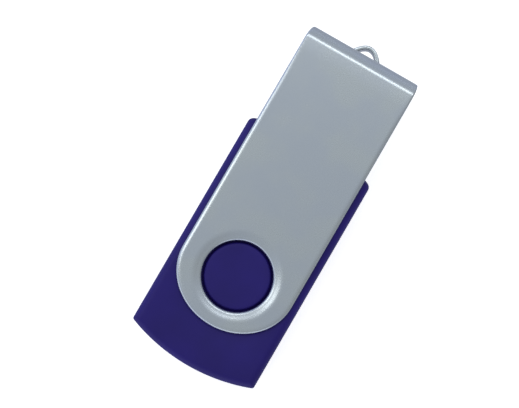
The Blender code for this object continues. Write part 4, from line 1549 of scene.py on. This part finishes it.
# Colours of the surround: at the horizon and straight up, towards -Y and +Y, low towards -X,
# and below the horizon.
SKY_HORIZON, SKY_TOP = (0.57, 0.60, 0.72), (0.50, 0.52, 0.545)
SKY_MINUS_Y, SKY_PLUS_Y = (0.40, 0.405, 0.42), (0.72, 0.78, 1.0)
SKY_MINUS_X, SKY_BELOW = (1.15, 1.18, 1.35), (0.46, 0.48, 0.57)


def area_light(name, place, aim, size, power, rgb):
    data = bpy.data.lights.new(name, "AREA")
    data.shape = "RECTANGLE"
    data.size, data.size_y = size
    data.energy = power
    data.color = rgb
    light = link_object(name, data)
    light.location = PIVOT + Vector(place) * MM
    light.rotation_mode = "QUATERNION"
    towards = PIVOT + Vector(aim) * MM - light.location
    light.rotation_quaternion = towards.to_track_quat("-Z", "Y")


def stage_floor(settings):
    """A pale floor with a faint glow, kept out of the metal's reflections."""
    finish = Finish("pale_floor", {"Roughness": 0.8, "Emission Color": (1.0, 1.0, 1.0, 1.0),
                                   "Emission Strength": settings.floor_glow})
    tone = tuple(settings.floor_colour)
    finish.set("Base Color", finish.mix(finish.noise(20.0 * MM), shade(tone, 0.99), tone))
    bm = bmesh.new()
    bmesh.ops.create_grid(bm, x_segments=8, y_segments=8, size=1.5)
    mesh = bpy.data.meshes.new("floor")
    bm.to_mesh(mesh)
    bm.free()
    mesh.materials.append(finish.material)
    floor = link_object("floor", mesh)
    floor.location = (0.0, 0.0, -0.02 * MM)
    floor.visible_glossy = False


def stage_world():
    """A plain studio surround, bluer round the horizon and darker below it."""
    world = bpy.data.worlds.new("studio")
    world.use_nodes = True
    wires = Wiring(world.node_tree)
    place = wires.out("ShaderNodeTexCoord", output="Generated")
    x, y, z = wires.node("ShaderNodeSeparateXYZ", None, {0: place}).outputs
    sky = wires.mix(z, SKY_HORIZON, SKY_TOP)
    sky = wires.mix(wires.step(y, -0.05, -0.5), sky, SKY_MINUS_Y)
    sky = wires.mix(wires.step(y, 0.3, 0.9), sky, SKY_PLUS_Y)
    rear = wires.mix(wires.step(z, 0.75, 0.35), sky, SKY_MINUS_X)
    sky = wires.mix(wires.step(x, -0.2, -0.8), sky, rear)
    colour = wires.mix(wires.step(z, -0.4, 0.1), SKY_BELOW, sky)
    wires.feed(world.node_tree.nodes["Background"].inputs["Color"], colour)
    bpy.context.scene.world = world


class DRIVE_OT_stage(bpy.types.Operator):
    """Sets up the floor, the soft lights and the camera"""
    bl_idname = "drive.stage"
    bl_label = "Set the stage"

    # Where the camera stands over and what it looks at, from the pivot, and how it is turned.
    FOOT = Vector((-3.86, -9.10, 0.0)) * MM
    AIM = Vector((10.498, 2.429, 5.0)) * MM
    UP_TURN = math.radians(30.169)

    def execute(self, context):
        settings = context.scene.drive_stage
        stage_floor(settings)
        stage_world()
        for light in LIGHTS:
            area_light(*light)

        data = bpy.data.cameras.new("camera")
        data.lens = settings.focal_length
        camera = link_object("camera", data)
        place = PIVOT + self.FOOT + Vector((0.0, 0.0, settings.camera_height))
        back = (place - (PIVOT + self.AIM)).normalized()
        up = Vector((math.cos(self.UP_TURN), math.sin(self.UP_TURN), 0.0))
        right = up.cross(back).normalized()
        turned = Matrix((right, back.cross(right), back)).transposed()
        camera.matrix_world = Matrix.Translation(place) @ turned.to_4x4()
        context.scene.camera = camera
        context.scene.view_settings.view_transform = "Standard"
        return {"FINISHED"}


class DRIVE_PT_panel(bpy.types.Panel):
    """Sidebar panel with every step"""
    bl_idname = "DRIVE_PT_panel"
    bl_label = "Flash drive"
    bl_space_type = "VIEW_3D"
    bl_region_type = "UI"
    bl_category = "Flash drive"

    def draw(self, context):
        for name, operators in PANEL_ROWS:
            box = self.layout.box()
            settings = getattr(context.scene, name)
            for label in settings.__annotations__:
                box.prop(settings, label)
            for operator in operators:
                box.operator(operator)


SETTINGS = {"drive_clip": ClipSettings, "drive_stick": StickSettings,
            "drive_plug": PlugSettings, "drive_board": BoardSettings,
            "drive_stage": StageSettings}
PANEL_ROWS = (("drive_stage", ("drive.stage",)),
              ("drive_clip", ("drive.clip",)),
              ("drive_stick", ("drive.shells",)),
              ("drive_plug", ("drive.plug", "drive.tongue")),
              ("drive_board", ("drive.board", "drive.chips", "drive.passives", "drive.crystal")))
CLASSES = (*SETTINGS.values(), DRIVE_OT_stage, DRIVE_OT_clip, DRIVE_OT_shells, DRIVE_OT_plug,
           DRIVE_OT_tongue, DRIVE_OT_board, DRIVE_OT_chips, DRIVE_OT_passives, DRIVE_OT_crystal,
           DRIVE_PT_panel)


def register():
    for each in CLASSES:
        bpy.utils.register_class(each)
    for name, settings in SETTINGS.items():
        setattr(bpy.types.Scene, name, bpy.props.PointerProperty(type=settings))


def unregister():
    for name in SETTINGS:
        delattr(bpy.types.Scene, name)
    for each in reversed(CLASSES):
        bpy.utils.unregister_class(each)


def main():
    register()
    bpy.ops.drive.stage()
    bpy.ops.drive.clip()
    bpy.ops.drive.shells()
    bpy.ops.drive.plug()
    bpy.ops.drive.tongue()
    bpy.ops.drive.board()
    bpy.ops.drive.chips()
    bpy.ops.drive.passives()
    bpy.ops.drive.crystal()


if __name__ == "__main__":
    main()
